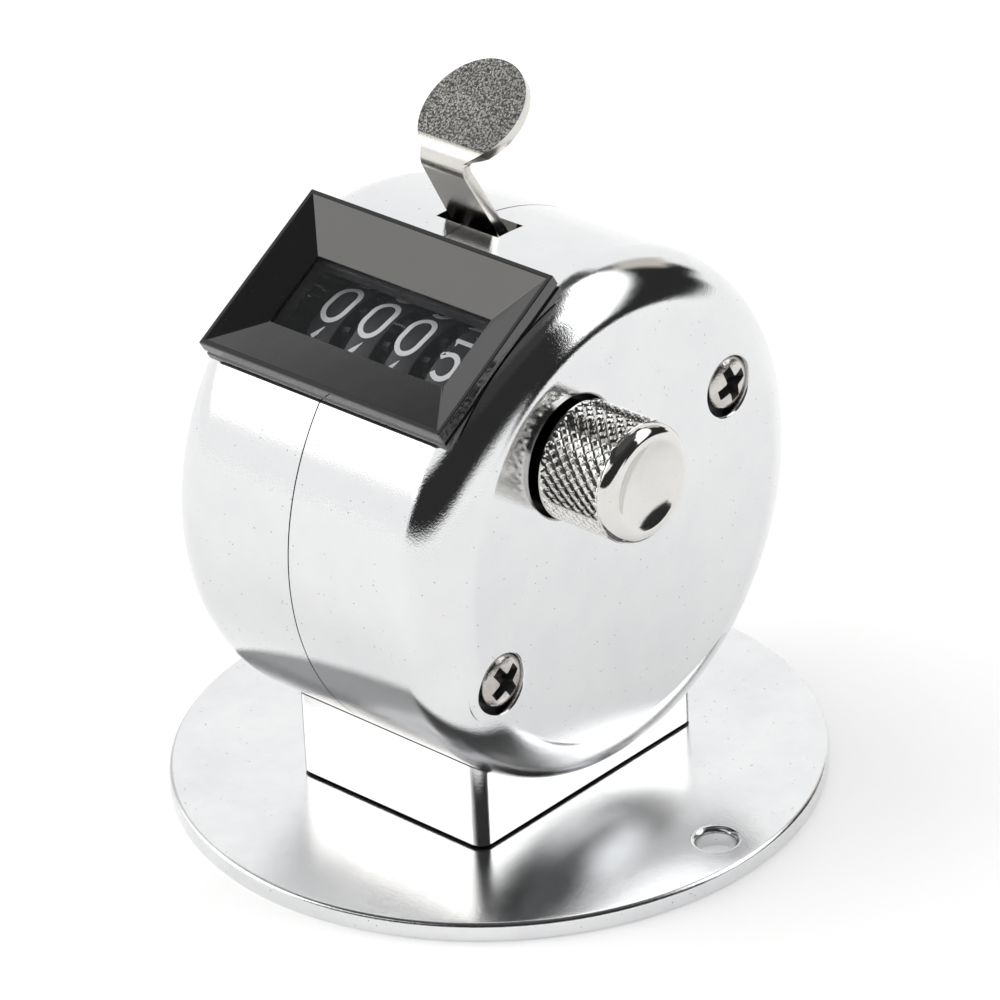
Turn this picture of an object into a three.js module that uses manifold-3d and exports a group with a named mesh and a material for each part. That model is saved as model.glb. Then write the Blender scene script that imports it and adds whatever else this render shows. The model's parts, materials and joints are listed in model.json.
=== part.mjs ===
// Desk-mounted hand tally counter with four number wheels, a thumb lever and a reset knob.
// Units are millimetres, +Z is up, the number window faces -Y and the reset knob points along +X.
// The origin is the centre of the round base plate, on the surface that it stands on.
import * as THREE from 'three';
import { mergeVertices } from 'three/addons/utils/BufferGeometryUtils.js';
import Module from 'manifold-3d';

const wasm = await Module();
wasm.setup();

// ---------- driving dimensions ----------

const RUNNING_GAP = 0.06;        // radial clearance of a shaft that turns in a bore
const PARTING_GAP = 0.1;         // gap left between faces that touch on the real object
const PRESS_GAP = 0.03;          // radial gap drawn where a piece is pressed on a shaft
const SCREW_CLEARANCE = 0.2;     // radial clearance of a screw that passes through a piece
const OVERSHOOT = 1;             // how far a cutting solid runs past the face that it opens

const BASE = { radius: 30, thickness: 1.8, bevel: 0.45, holeX: 25.8, holeRadius: 1.75 };
BASE.mouth = { radius: 2.35, depth: 0.8 };
const BLOCK = { widthX: 22.3, widthY: 28.9, cornerRadius: 1.3, height: 9.5 };
BLOCK.bottom = BASE.thickness + PARTING_GAP;
BLOCK.saddleGap = 0.15;

// The case is a drum lying on its side: its axis runs along X at this height.
const CASE = { y: 0, z: 29.9, radius: 24.3, halfWidth: 16.6, fillet: 4.8, wall: 1.3, seamX: -0.8 };
CASE.faceRadius = CASE.radius - CASE.fillet;
CASE.innerRadius = CASE.radius - CASE.wall;
CASE.innerHalfWidth = CASE.halfWidth - CASE.wall;

// The window frame lies on a plane tilted up from vertical. N is the distance along its normal
// from the drum axis, and V is the distance up the slope.
const TILT = THREE.MathUtils.degToRad(31.25);
const BEZEL = { width: 28.1, height: 17.4, seatN: 22.6, rimN: 24.95, rimWidth: 0.45, throatN: 23.5 };
BEZEL.seatGap = { x: 0.15, v: 0.25, n: 0.05 };
const WINDOW = { width: 20.2, height: 7.3, v: -0.15 };
const LENS = { width: 21.6, height: 8.7, bottomN: 22.7, topN: 23.3, sideGap: 0.15 };
const SHELL_WINDOW = { halfWidth: 10.6, halfHeight: 4.25, innerN: 21.25 };

const SLOT = { lowX: -3.9, highX: 3.3, lowY: -0.6, highY: 2.7 };

// Shafts, each parallel to X, at these places in the Y-Z plane.
const NUMBER_SHAFT = { y: -6.65, z: 39.75, radius: 1.5 };
const LEVER_SHAFT = { y: -3.7, z: 50.4, radius: 0.8 };
const PINION_REACH = 10.5;
const PINION_ANGLE = THREE.MathUtils.degToRad(-60);
const PINION_SHAFT = {
  y: NUMBER_SHAFT.y + PINION_REACH * Math.cos(PINION_ANGLE),
  z: NUMBER_SHAFT.z + PINION_REACH * Math.sin(PINION_ANGLE),
  radius: 0.8,
};
const SHAFT_END_X = 13.1;

const WHEEL = { radius: 8.5, pitchX: 4.7, firstX: 6.6, rimLow: -1.5, rimHigh: 1.4, sideWidth: 0.8 };
const WHEEL_NAMES = ['units_wheel', 'tens_wheel', 'hundreds_wheel', 'thousands_wheel'];
const WHEEL_BODY_OVERLAP = 0.1;   // depth to which a wheel's side gear or disc runs into its rim
const WHEEL_TEETH = { count: 20, tip: 8.0, root: 6.9, tipWidth: 0.5, rootWidth: 1.15 };
const PINION_TEETH = { count: 8, tip: 3.4, root: 2.3, tipWidth: 0.4, rootWidth: 1.05 };
const PINION = { teethLow: 0.05, teethHigh: 1.55, hubRadius: 1.5, hubLow: -2.55, hubHigh: 2.05 };
const LOCKING_DISC = { radius: 6.7, width: 0.7 };
const RATCHET = { teeth: 10, tip: 5.6, root: 4.7, lowX: 9.75, highX: 10.75 };

// The number shaft runs out through the right face of the case and carries the reset knob.
const SHAFT = { lowX: -13.6, highX: 21.4 };
const WASHER = { radius: 7, lowX: 13.3, highX: 14.3 };
const KNOB = { radius: 5.42, lowX: 14.9, neckRadius: 4.7, neckEndX: 17.2, barrelX: 18.4, shoulderX: 24.1 };
KNOB.holeRadius = 5.6;
KNOB.rim = { radius: 4.15, x: 25.3 };
KNOB.dish = { radius: 4, depth: 0.95 };

const PLATE = { innerX: 12, thickness: 0.8, radius: 22.3, topN: 20.95, bushHoleRadius: 2.3 };
PLATE.openings = [{ y: 7.5, z: 29, radius: 4.5 }, { y: -5, z: 22, radius: 3.5 }];
const BUSH = { flangeRadius: 2.7, bodyRadius: 2.2, lowX: 11.05, shoulderX: 11.9, highX: 13 };
const COLLAR = { radius: 2.7, lowX: -10.9, highX: -9.35 };
const CASE_SCREWS = [
  { name: 'case_screw_upper', y: 14.3, z: 38.1 },
  { name: 'case_screw_lower', y: -16.3, z: 22.0 },
];
const CASE_SCREW = { headRadius: 2.45, floorX: 15.1, topX: 16.75, shankRadius: 1.2, endX: 5 };
CASE_SCREW.recessRadius = 3;
CASE_SCREW.cross = { depth: 0.7, length: 2.8, width: 0.6 };
const POST = { radius: 2.5, endX: 13.2, hole: 1.4, holeEndX: 4.5 };
const BOSS_RADIUS = 4;
const WALL_BITE = 0.6;           // how far posts and bosses run into the wall that carries them

const SPACERS = [
  { name: 'frame_spacer_rear', y: 10.5, z: 44 },
  { name: 'frame_spacer_lower', y: 12, z: 20 },
  { name: 'frame_spacer_front', y: -13, z: 27 },
];
const SPACER_RADIUS = 1.4;
const FOOT_BAR = { halfX: 11.8, halfY: 6, top: 10.4, clearance: 0.2 };

const BLOCK_SCREW = { x: 6, headRadius: 2.6, headHeight: 1.7, shankRadius: 1.25, top: 9.6 };
BLOCK_SCREW.edge = 0.4;
BLOCK_SCREW.recess = 2;
const BASE_SCREW = { y: 9.5, headRadius: 2.6, headHeight: 1.25, shankRadius: 1.2, top: 6, sunk: 0.1 };
const SCREW_SLOT = { halfWidth: 0.4, depth: 0.6 };

// The thumb lever is one bent strip of sheet metal: an arm that leans forward and a pad that leans back.
const LEVER = { x: -0.85, sheet: 1, halfWidth: 2.6, bendRadius: 2.2 };
LEVER.armLean = THREE.MathUtils.degToRad(29);
LEVER.slotPoint = new THREE.Vector2(0.55, 54.2);
LEVER.bottomZ = 49.7;
const PAD = { x: -0.53, y: 0.91, z: 64.64, halfWidth: 5, halfLength: 5.36 };
PAD.tilt = THREE.MathUtils.degToRad(35);
const EAR = { thickness: 0.8, hubRadius: 1.4, topZ: 52.2, inset: 0.05, footRise: 0.2, armOverlap: 0.3 };

const PAWL_ARM = { lowX: 10.9, highX: 11.7, hubRadius: 1.6 };
const PAWL = { pivotY: 6, pivotZ: 47, tipY: -0.5, tipZ: 42.7, tipRadius: 0.35, hubRadius: 1.3 };
const PAWL_PIN = { radius: 0.6, headRadius: 1.1, headHeight: 0.5, endX: 11.8 };

const BACKSTOP = { foot: [-13.6, 28.4], tip: [-9.6, 34], halfThickness: 0.2, clipRadius: 1.9 };
BACKSTOP.clipShift = [0.3, 0.4];

const RETURN_SPRING = { coilRadius: 1.35, wireRadius: 0.22, lowX: -10.6, highX: -4.6, turns: 5 };
RETURN_SPRING.leg = { share: 0.12, length: 4.6, drop: 0.6 };

const COLOURS = {
  chrome: { color: 0xd8dadc, roughness: 0.12, metalness: 1 },
  nickel: { color: 0xb9b4aa, roughness: 0.3, metalness: 1 },
  steel: { color: 0x9a9c9e, roughness: 0.4, metalness: 1 },
  brass: { color: 0xb89a52, roughness: 0.35, metalness: 1 },
  gloss_black: { color: 0x151516, roughness: 0.15, metalness: 0 },
  matte_black: { color: 0x1c1d20, roughness: 0.6, metalness: 0 },
  clear: { color: 0xdfe6ea, roughness: 0.05, metalness: 0 },
};

// ---------- solids ----------

// Closed three.js geometry to a solid that can be joined and cut.
function toSolid(geometry) {
  const plain = geometry.index ? geometry.clone() : geometry;
  plain.deleteAttribute('normal');
  plain.deleteAttribute('uv');
  const merged = mergeVertices(plain, 1e-4);
  const vertProperties = new Float32Array(merged.attributes.position.array);
  const triVerts = new Uint32Array(merged.index.array);
  return new wasm.Manifold(new wasm.Mesh({ numProp: 3, vertProperties, triVerts }));
}

function toGeometry(solid) {
  const mesh = solid.getMesh();
  const geometry = new THREE.BufferGeometry();
  geometry.setAttribute('position', new THREE.BufferAttribute(new Float32Array(mesh.vertProperties), 3));
  geometry.setIndex(new THREE.BufferAttribute(new Uint32Array(mesh.triVerts), 1));
  geometry.computeVertexNormals();
  return geometry;
}

const join = (first, ...others) => others.reduce((whole, piece) => whole.add(piece), first);
const cut = (first, ...others) => others.reduce((whole, piece) => whole.subtract(piece), first);

function box(lowX, highX, lowY, highY, lowZ, highZ, matrix = null) {
  const geometry = new THREE.BoxGeometry(highX - lowX, highY - lowY, highZ - lowZ);
  geometry.translate((lowX + highX) / 2, (lowY + highY) / 2, (lowZ + highZ) / 2);
  return toSolid(matrix ? geometry.applyMatrix4(matrix) : geometry);
}

// Solid of revolution. The profile is a list of [radius, height] from one end of the axis to the other.
function latheGeometry(profile, segments) {
  const points = profile.map(([radius, height]) => new THREE.Vector2(radius, height));
  return new THREE.LatheGeometry(points, segments);
}

// A turned piece on an axis parallel to X. Its profile is a list of [radius, x], with x rising.
function turnedX(profile, { y, z }, segments = 24) {
  const geometry = latheGeometry(profile, segments);
  geometry.rotateZ(-Math.PI / 2);
  geometry.translate(0, y, z);
  return toSolid(geometry);
}

// A turned piece on an axis parallel to Z. Its profile is a list of [radius, z], with z rising.
function turnedZ(profile, x, y, segments = 24) {
  const geometry = latheGeometry(profile, segments);
  geometry.rotateX(Math.PI / 2);
  geometry.translate(x, y, 0);
  return toSolid(geometry);
}

const rodX = (radius, lowX, highX, place, segments) =>
  turnedX([[0, lowX], [radius, lowX], [radius, highX], [0, highX]], place, segments);
const ringX = (bore, radius, lowX, highX, place, segments) =>
  turnedX([[bore, lowX], [radius, lowX], [radius, highX], [bore, highX], [bore, lowX]], place, segments);
const rodZ = (radius, lowZ, highZ, x, y, segments) =>
  turnedZ([[0, lowZ], [radius, lowZ], [radius, highZ], [0, highZ]], x, y, segments);

// An outline drawn in the Y-Z plane and given a thickness along X.
const FROM_YZ = new THREE.Matrix4().set(0, 0, 1, 0, 1, 0, 0, 0, 0, 1, 0, 0, 0, 0, 0, 1);
function slabX(shape, lowX, highX, curveSegments = 8) {
  const depth = highX - lowX;
  const geometry = new THREE.ExtrudeGeometry(shape, { depth, bevelEnabled: false, curveSegments });
  geometry.applyMatrix4(FROM_YZ);
  geometry.translate(lowX, 0, 0);
  return toSolid(geometry);
}

// Window-frame coordinates: x stays x, V runs up the slope and N runs out of it.
const TO_WINDOW = new THREE.Matrix4()
  .makeTranslation(0, CASE.y, CASE.z)
  .multiply(new THREE.Matrix4().makeRotationX(TILT));

// ---------- base ----------

function basePlate() {
  const { radius, thickness, bevel, holeX, holeRadius, mouth } = BASE;
  const above = thickness + OVERSHOOT;
  const disc = turnedZ(
    [[0, 0], [radius - bevel / 2, 0], [radius, bevel / 2], [radius, thickness - bevel],
      [radius - bevel, thickness], [0, thickness]], 0, 0, 72);
  const mountingHole = (x) => turnedZ(
    [[0, -OVERSHOOT], [holeRadius, -OVERSHOOT], [holeRadius, thickness - mouth.depth],
      [mouth.radius, thickness], [mouth.radius, above], [0, above]], x, 0, 24);
  const headHole = BASE_SCREW.headRadius + SCREW_CLEARANCE;
  const shankHole = BASE_SCREW.shankRadius + SCREW_CLEARANCE;
  const screwSeat = (y) => turnedZ(
    [[0, -OVERSHOOT], [headHole, -OVERSHOOT], [headHole, BASE_SCREW.sunk],
      [shankHole, BASE_SCREW.headHeight + SCREW_CLEARANCE], [shankHole, above], [0, above]], 0, y, 16);
  const seats = [screwSeat(BASE_SCREW.y), screwSeat(-BASE_SCREW.y)];
  return cut(disc, mountingHole(holeX), mountingHole(-holeX), ...seats);
}

// Straight slot across a screw head whose face looks down.
function screwSlot(x, y, headRadius, faceZ) {
  const { halfWidth, depth } = SCREW_SLOT;
  const reach = headRadius + OVERSHOOT;
  return box(x - reach, x + reach, y - halfWidth, y + halfWidth, faceZ - OVERSHOOT, faceZ + depth);
}

// Countersunk screw driven up through the plate into the block, with a straight slot.
function baseScrew(y) {
  const { headRadius, headHeight, shankRadius, top, sunk } = BASE_SCREW;
  const body = turnedZ(
    [[0, sunk], [headRadius, sunk], [shankRadius, headHeight], [shankRadius, top], [0, top]], 0, y, 16);
  return cut(body, screwSlot(0, y, headRadius, sunk));
}

function roundedRectangle(width, height, radius) {
  const shape = new THREE.Shape();
  const halfWidth = width / 2;
  const halfHeight = height / 2;
  shape.absarc(halfWidth - radius, halfHeight - radius, radius, 0, Math.PI / 2);
  shape.absarc(-halfWidth + radius, halfHeight - radius, radius, Math.PI / 2, Math.PI);
  shape.absarc(-halfWidth + radius, -halfHeight + radius, radius, Math.PI, Math.PI * 1.5);
  shape.absarc(halfWidth - radius, -halfHeight + radius, radius, Math.PI * 1.5, Math.PI * 2);
  return shape;
}

// Block between plate and case. Its top is hollowed to the round of the drum.
function mountingBlock() {
  const { widthX, widthY, cornerRadius, bottom, height, saddleGap } = BLOCK;
  const outline = roundedRectangle(widthX, widthY, cornerRadius);
  const settings = { depth: height, bevelEnabled: false, curveSegments: 4 };
  const geometry = new THREE.ExtrudeGeometry(outline, settings);
  geometry.translate(0, 0, bottom);
  const saddle = rodX(CASE.radius + saddleGap, -widthX, widthX, CASE, 60);
  const headHole = BLOCK_SCREW.headRadius + SCREW_CLEARANCE;
  const shankHole = BLOCK_SCREW.shankRadius + SCREW_CLEARANCE;
  const step = bottom + BLOCK_SCREW.recess;
  const top = bottom + height + OVERSHOOT;
  const screwBore = (x) => turnedZ(
    [[0, 0], [headHole, 0], [headHole, step], [shankHole, step], [shankHole, top], [0, top]], x, 0, 16);
  const screwHole = (y) =>
    rodZ(BASE_SCREW.shankRadius + SCREW_CLEARANCE, 0, BASE_SCREW.top + 2 * SCREW_CLEARANCE, 0, y, 16);
  return cut(toSolid(geometry), saddle, screwBore(BLOCK_SCREW.x), screwBore(-BLOCK_SCREW.x),
    screwHole(BASE_SCREW.y), screwHole(-BASE_SCREW.y));
}

// Pan-head screw from inside the block up into the foot bar.
function blockScrew(x) {
  const { headRadius, headHeight, shankRadius, top, edge } = BLOCK_SCREW;
  const low = BLOCK.bottom + PARTING_GAP;
  const body = turnedZ(
    [[0, low], [headRadius - edge, low], [headRadius, low + edge], [headRadius, low + headHeight],
      [shankRadius, low + headHeight], [shankRadius, top], [0, top]], x, 0, 16);
  return cut(body, screwSlot(x, 0, headRadius, low));
}

// ---------- case ----------

// Half profile of a drum end from its axis, over the fillet, to the given inner limit on X.
function drumEnd(side, faceX, faceRadius, fillet, limitX, steps) {
  const profile = [[0, side * faceX], [faceRadius, side * faceX]];
  for (let step = 1; step <= steps; step += 1) {
    const angle = (step / steps) * (Math.PI / 2);
    profile.push([faceRadius + fillet * Math.sin(angle), side * (faceX - fillet + fillet * Math.cos(angle))]);
  }
  profile.push([faceRadius + fillet, limitX], [0, limitX]);
  return side > 0 ? profile.reverse() : profile;
}

function caseShell(side) {
  const seam = CASE.seamX + side * PARTING_GAP / 2;
  const outer = turnedX(drumEnd(side, CASE.halfWidth, CASE.faceRadius, CASE.fillet, seam, 5), CASE, 60);
  const innerFillet = CASE.fillet - CASE.wall;
  const inner = turnedX(
    drumEnd(side, CASE.innerHalfWidth, CASE.faceRadius, innerFillet, seam - side * OVERSHOOT, 3), CASE, 60);
  const outside = CASE.radius + OVERSHOOT;
  const underWindow = box(-outside, outside, -CASE.radius / 2, CASE.radius / 2, SHELL_WINDOW.innerN, outside,
    TO_WINDOW);
  const seatX = BEZEL.width / 2 + BEZEL.seatGap.x;
  const seatV = BEZEL.height / 2 + BEZEL.seatGap.v;
  const seat = box(-seatX, seatX, -seatV, seatV, BEZEL.seatN - BEZEL.seatGap.n, outside, TO_WINDOW);
  const { halfWidth, halfHeight, innerN } = SHELL_WINDOW;
  const window = box(-halfWidth, halfWidth, WINDOW.v - halfHeight, WINDOW.v + halfHeight, innerN - OVERSHOOT,
    outside, TO_WINDOW);
  const slotLow = CASE.z + innerN - OVERSHOOT;
  const slot = box(SLOT.lowX, SLOT.highX, SLOT.lowY, SLOT.highY, slotLow, CASE.z + outside);
  const bottomZ = CASE.z - CASE.radius;
  const screwHole = rodZ(BLOCK_SCREW.shankRadius + SCREW_CLEARANCE, bottomZ - OVERSHOOT,
    bottomZ + CASE.wall + OVERSHOOT, side * BLOCK_SCREW.x, 0, 16);
  return cut(outer, cut(inner, underWindow), seat, window, slot, screwHole);
}

// The left shell carries two hollow posts that the case screws thread into.
function leftCaseShell() {
  const wall = -CASE.halfWidth + WALL_BITE;
  const posts = CASE_SCREWS.map((place) => rodX(POST.radius, wall, POST.endX, place, 20));
  const holes = CASE_SCREWS.map((place) => rodX(POST.hole, POST.holeEndX, POST.endX + OVERSHOOT, place, 16));
  return cut(join(caseShell(-1), ...posts), ...holes);
}

// The right shell has a hole for the knob and two recessed bosses for the case screws.
function rightCaseShell() {
  const outside = CASE.halfWidth + OVERSHOOT;
  const bossX = POST.endX + 2 * PARTING_GAP;
  const bosses = CASE_SCREWS.map((place) => rodX(BOSS_RADIUS, bossX, CASE.halfWidth - WALL_BITE, place, 24));
  const drum = rodX(CASE.innerRadius + WALL_BITE, 0, CASE.halfWidth, CASE, 60);
  const { recessRadius, floorX, shankRadius } = CASE_SCREW;
  const recesses = CASE_SCREWS.map((place) => rodX(recessRadius, floorX, outside, place, 28));
  const holeRadius = shankRadius + SCREW_CLEARANCE;
  const holes = CASE_SCREWS.map((place) => rodX(holeRadius, POST.endX, outside, place, 16));
  const knobHole = rodX(KNOB.holeRadius, CASE.innerHalfWidth - OVERSHOOT, outside, NUMBER_SHAFT, 48);
  const bossBlock = join(...bosses).intersect(drum);
  return cut(join(caseShell(1), bossBlock), ...recesses, ...holes, knobHole);
}

// Pan-head cross-recessed screw that clamps the two shells together.
function caseScrew(place) {
  const { headRadius, floorX, topX, shankRadius, endX, cross } = CASE_SCREW;
  const seatX = floorX + PARTING_GAP;
  const body = turnedX(
    [[0, endX], [shankRadius, endX], [shankRadius, seatX], [headRadius, seatX], [headRadius, topX - 0.7],
      [headRadius * 0.8, topX - 0.2], [headRadius * 0.4, topX], [0, topX]], place, 24);
  const blade = (angle) => {
    const geometry = new THREE.BoxGeometry(2 * cross.depth, cross.length, cross.width);
    geometry.rotateX(angle);
    geometry.translate(topX, place.y, place.z);
    return toSolid(geometry);
  };
  return cut(body, blade(Math.PI / 4), blade(-Math.PI / 4));
}

// ---------- window ----------

// A rectangular funnel or block between two levels of N.
function frustum(low, high) {
  const corners = [[-1, -1], [1, -1], [1, 1], [-1, 1]];
  const ring = ({ width, height, v, n }) => corners.map(([a, b]) => [a * width / 2, v + b * height / 2, n]);
  const positions = new Float32Array([...ring(low), ...ring(high)].flat());
  const index = [0, 2, 1, 0, 3, 2, 4, 5, 6, 4, 6, 7];
  for (let side = 0; side < 4; side += 1) {
    const next = (side + 1) % 4;
    index.push(side, next, next + 4, side, next + 4, side + 4);
  }
  const geometry = new THREE.BufferGeometry();
  geometry.setAttribute('position', new THREE.BufferAttribute(positions, 3));
  geometry.setIndex(index);
  return toSolid(geometry.applyMatrix4(TO_WINDOW));
}

function windowBezel() {
  const { width, height, seatN, rimN, rimWidth, throatN } = BEZEL;
  const block = box(-width / 2, width / 2, -height / 2, height / 2, seatN, rimN, TO_WINDOW);
  const throat = { ...WINDOW, n: throatN };
  const mouth = { width: width - 2 * rimWidth, height: height - 2 * rimWidth, v: 0, n: rimN };
  const aboveMouth = { ...mouth, n: rimN + OVERSHOOT };
  const below = seatN - OVERSHOOT;
  const straight = frustum({ ...WINDOW, n: below }, throat);
  const margin = 2 * LENS.sideGap;
  const lensPlace = { width: LENS.width + margin, height: LENS.height + margin, v: WINDOW.v };
  const pocket = frustum({ ...lensPlace, n: below }, { ...lensPlace, n: LENS.topN + PARTING_GAP });
  return cut(block, frustum(throat, mouth), frustum(mouth, aboveMouth), straight, pocket);
}

const windowLens = () => frustum(
  { width: LENS.width, height: LENS.height, v: WINDOW.v, n: LENS.bottomN },
  { width: LENS.width, height: LENS.height, v: WINDOW.v, n: LENS.topN });

// ---------- frame ----------

function framePlate(side) {
  const lowX = side > 0 ? PLATE.innerX : -PLATE.innerX - PLATE.thickness;
  const highX = lowX + PLATE.thickness;
  const disc = rodX(PLATE.radius, lowX, highX, CASE, 36);
  const flat = box(lowX - OVERSHOOT, highX + OVERSHOOT, -PLATE.radius, PLATE.radius, PLATE.topN,
    PLATE.radius + OVERSHOOT, TO_WINDOW);
  const hole = (place, radius, segments = 12) =>
    rodX(radius, lowX - OVERSHOOT, highX + OVERSHOOT, place, segments);
  return cut(disc, flat, ...CASE_SCREWS.map((place) => hole(place, POST.radius + 3 * PARTING_GAP, 16)),
    hole(NUMBER_SHAFT, PLATE.bushHoleRadius, 24), hole(LEVER_SHAFT, LEVER_SHAFT.radius + RUNNING_GAP),
    hole(PINION_SHAFT, PINION_SHAFT.radius + RUNNING_GAP),
    ...PLATE.openings.map((opening) => hole(opening, opening.radius, 16)));
}

const spacerReach = PLATE.innerX - PARTING_GAP;
const frameSpacer = (place) => rodX(SPACER_RADIUS, -spacerReach, spacerReach, place, 16);

// Bar across the bottom of the case that the block screws thread into.
function footBar() {
  const { halfX, halfY, top, clearance } = FOOT_BAR;
  const bar = box(-halfX, halfX, -halfY, halfY, CASE.z - CASE.radius, top);
  const inside = rodX(CASE.innerRadius - clearance, -CASE.halfWidth, CASE.halfWidth, CASE, 72);
  const hole = (x) => rodZ(BLOCK_SCREW.shankRadius + 0.15, 0, BLOCK_SCREW.top + SCREW_CLEARANCE, x, 0, 16);
  return cut(bar.intersect(inside), hole(BLOCK_SCREW.x), hole(-BLOCK_SCREW.x));
}

// Flanged bush pressed into a frame plate.
function axleBush(side) {
  const bore = NUMBER_SHAFT.radius + RUNNING_GAP;
  const { flangeRadius, bodyRadius, lowX, shoulderX, highX } = BUSH;
  const profile = [[bore, lowX], [flangeRadius, lowX], [flangeRadius, shoulderX], [bodyRadius, shoulderX],
    [bodyRadius, highX], [bore, highX], [bore, lowX]];
  const oriented = side > 0 ? profile : profile.map(([radius, x]) => [radius, -x]).reverse();
  return turnedX(oriented, NUMBER_SHAFT, 24);
}

function shaftCollar() {
  const bore = NUMBER_SHAFT.radius + RUNNING_GAP;
  return ringX(bore, COLLAR.radius, COLLAR.lowX, COLLAR.highX, NUMBER_SHAFT, 24);
}

// ---------- number wheels ----------

// Outline of a toothed wheel around a centre in the Y-Z plane. The first tooth points along firstAngle.
function toothedOutline({ count, tip, root, tipWidth, rootWidth }, place, firstAngle) {
  const shape = new THREE.Shape();
  for (let tooth = 0; tooth < count; tooth += 1) {
    const angle = firstAngle + (tooth / count) * Math.PI * 2;
    const corner = (radius, width) => {
      const turn = angle + Math.asin(width / 2 / radius);
      return [place.y + radius * Math.cos(turn), place.z + radius * Math.sin(turn)];
    };
    const rise = [corner(root, -rootWidth), corner(tip, -tipWidth)];
    const fall = [corner(tip, tipWidth), corner(root, rootWidth)];
    [...rise, ...fall].forEach(([y, z], index) => {
      if (tooth + index === 0) shape.moveTo(y, z);
      else shape.lineTo(y, z);
    });
  }
  return shape;
}

function numberWheel(position) {
  const centre = WHEEL.firstX - position * WHEEL.pitchX;
  const { radius, rimLow, rimHigh, sideWidth } = WHEEL;
  const low = centre + rimLow;
  const high = centre + rimHigh;
  const sideLow = high - WHEEL_BODY_OVERLAP;
  const sideHigh = position > 0 ? high + sideWidth : RATCHET.lowX - PARTING_GAP;
  const parts = [rodX(radius, low, high, NUMBER_SHAFT, 40)];
  if (position < WHEEL_NAMES.length - 1) {
    const discLow = low - LOCKING_DISC.width;
    parts.push(rodX(LOCKING_DISC.radius, discLow, low + WHEEL_BODY_OVERLAP, NUMBER_SHAFT, 24));
  }
  if (position > 0) {
    parts.push(slabX(toothedOutline(WHEEL_TEETH, NUMBER_SHAFT, PINION_ANGLE), sideLow, sideHigh));
  } else {
    parts.push(rodX(LOCKING_DISC.radius, sideLow, sideHigh, NUMBER_SHAFT, 24));
  }
  const boreLow = low - OVERSHOOT;
  const bore = rodX(NUMBER_SHAFT.radius + RUNNING_GAP, boreLow, sideHigh + OVERSHOOT, NUMBER_SHAFT, 24);
  return cut(join(...parts), bore);
}

// Transfer pinion between wheel number `position` and the next higher one.
function transferPinion(position) {
  const higher = WHEEL.firstX - (position + 1) * WHEEL.pitchX + WHEEL.rimHigh;
  const halfTooth = Math.PI / PINION_TEETH.count;
  const outline = toothedOutline(PINION_TEETH, PINION_SHAFT, PINION_ANGLE + Math.PI + halfTooth);
  const { teethLow, teethHigh, hubRadius, hubLow, hubHigh } = PINION;
  const teeth = slabX(outline, higher + teethLow, higher + teethHigh);
  const hub = rodX(hubRadius, higher + hubLow, higher + hubHigh, PINION_SHAFT, 16);
  const boreRadius = PINION_SHAFT.radius + RUNNING_GAP;
  const boreLow = higher + hubLow - OVERSHOOT;
  const bore = rodX(boreRadius, boreLow, higher + hubHigh + OVERSHOOT, PINION_SHAFT, 16);
  return cut(join(teeth, hub), bore);
}

// Saw-toothed wheel pressed on the side of the units wheel.
function ratchetWheel() {
  const shape = new THREE.Shape();
  for (let tooth = 0; tooth < RATCHET.teeth; tooth += 1) {
    const angle = (tooth / RATCHET.teeth) * Math.PI * 2;
    const corner = (radius) =>
      [NUMBER_SHAFT.y + radius * Math.cos(angle), NUMBER_SHAFT.z + radius * Math.sin(angle)];
    if (tooth === 0) shape.moveTo(...corner(RATCHET.root));
    else shape.lineTo(...corner(RATCHET.root));
    shape.lineTo(...corner(RATCHET.tip));
  }
  const bore = rodX(NUMBER_SHAFT.radius + RUNNING_GAP, RATCHET.lowX - OVERSHOOT, RATCHET.highX + OVERSHOOT,
    NUMBER_SHAFT, 24);
  return cut(slabX(shape, RATCHET.lowX, RATCHET.highX), bore);
}

const numberShaft = () => rodX(NUMBER_SHAFT.radius, SHAFT.lowX, SHAFT.highX, NUMBER_SHAFT, 24);
const pinionShaft = () => rodX(PINION_SHAFT.radius, -SHAFT_END_X, SHAFT_END_X, PINION_SHAFT, 16);

// Knob with a neck that enters the case, a cone up to its barrel, a round shoulder and a dished end.
function resetKnob() {
  const { radius, lowX, neckRadius, neckEndX, barrelX, shoulderX, rim, dish } = KNOB;
  const profile = [[0, lowX], [neckRadius, lowX], [neckRadius, neckEndX], [radius, barrelX]];
  const steps = 4;
  for (let step = 0; step <= steps; step += 1) {
    const angle = (step / steps) * (Math.PI / 2);
    const reach = rim.radius + (radius - rim.radius) * Math.cos(angle);
    profile.push([reach, shoulderX + (rim.x - shoulderX) * Math.sin(angle)]);
  }
  for (let step = steps; step >= 0; step -= 1) {
    const share = step / steps;
    profile.push([dish.radius * share, rim.x - dish.depth * (1 - share ** 2)]);
  }
  const boreHigh = SHAFT.highX + PARTING_GAP;
  const bore = rodX(NUMBER_SHAFT.radius + PRESS_GAP, lowX - OVERSHOOT, boreHigh, NUMBER_SHAFT, 24);
  return cut(turnedX(profile, NUMBER_SHAFT, 48), bore);
}

// Dark washer inside the case that closes the gap around the knob.
function knobWasher() {
  const bore = NUMBER_SHAFT.radius + SCREW_CLEARANCE;
  return ringX(bore, WASHER.radius, WASHER.lowX, WASHER.highX, NUMBER_SHAFT, 30);
}

// ---------- lever and pawl ----------

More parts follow.
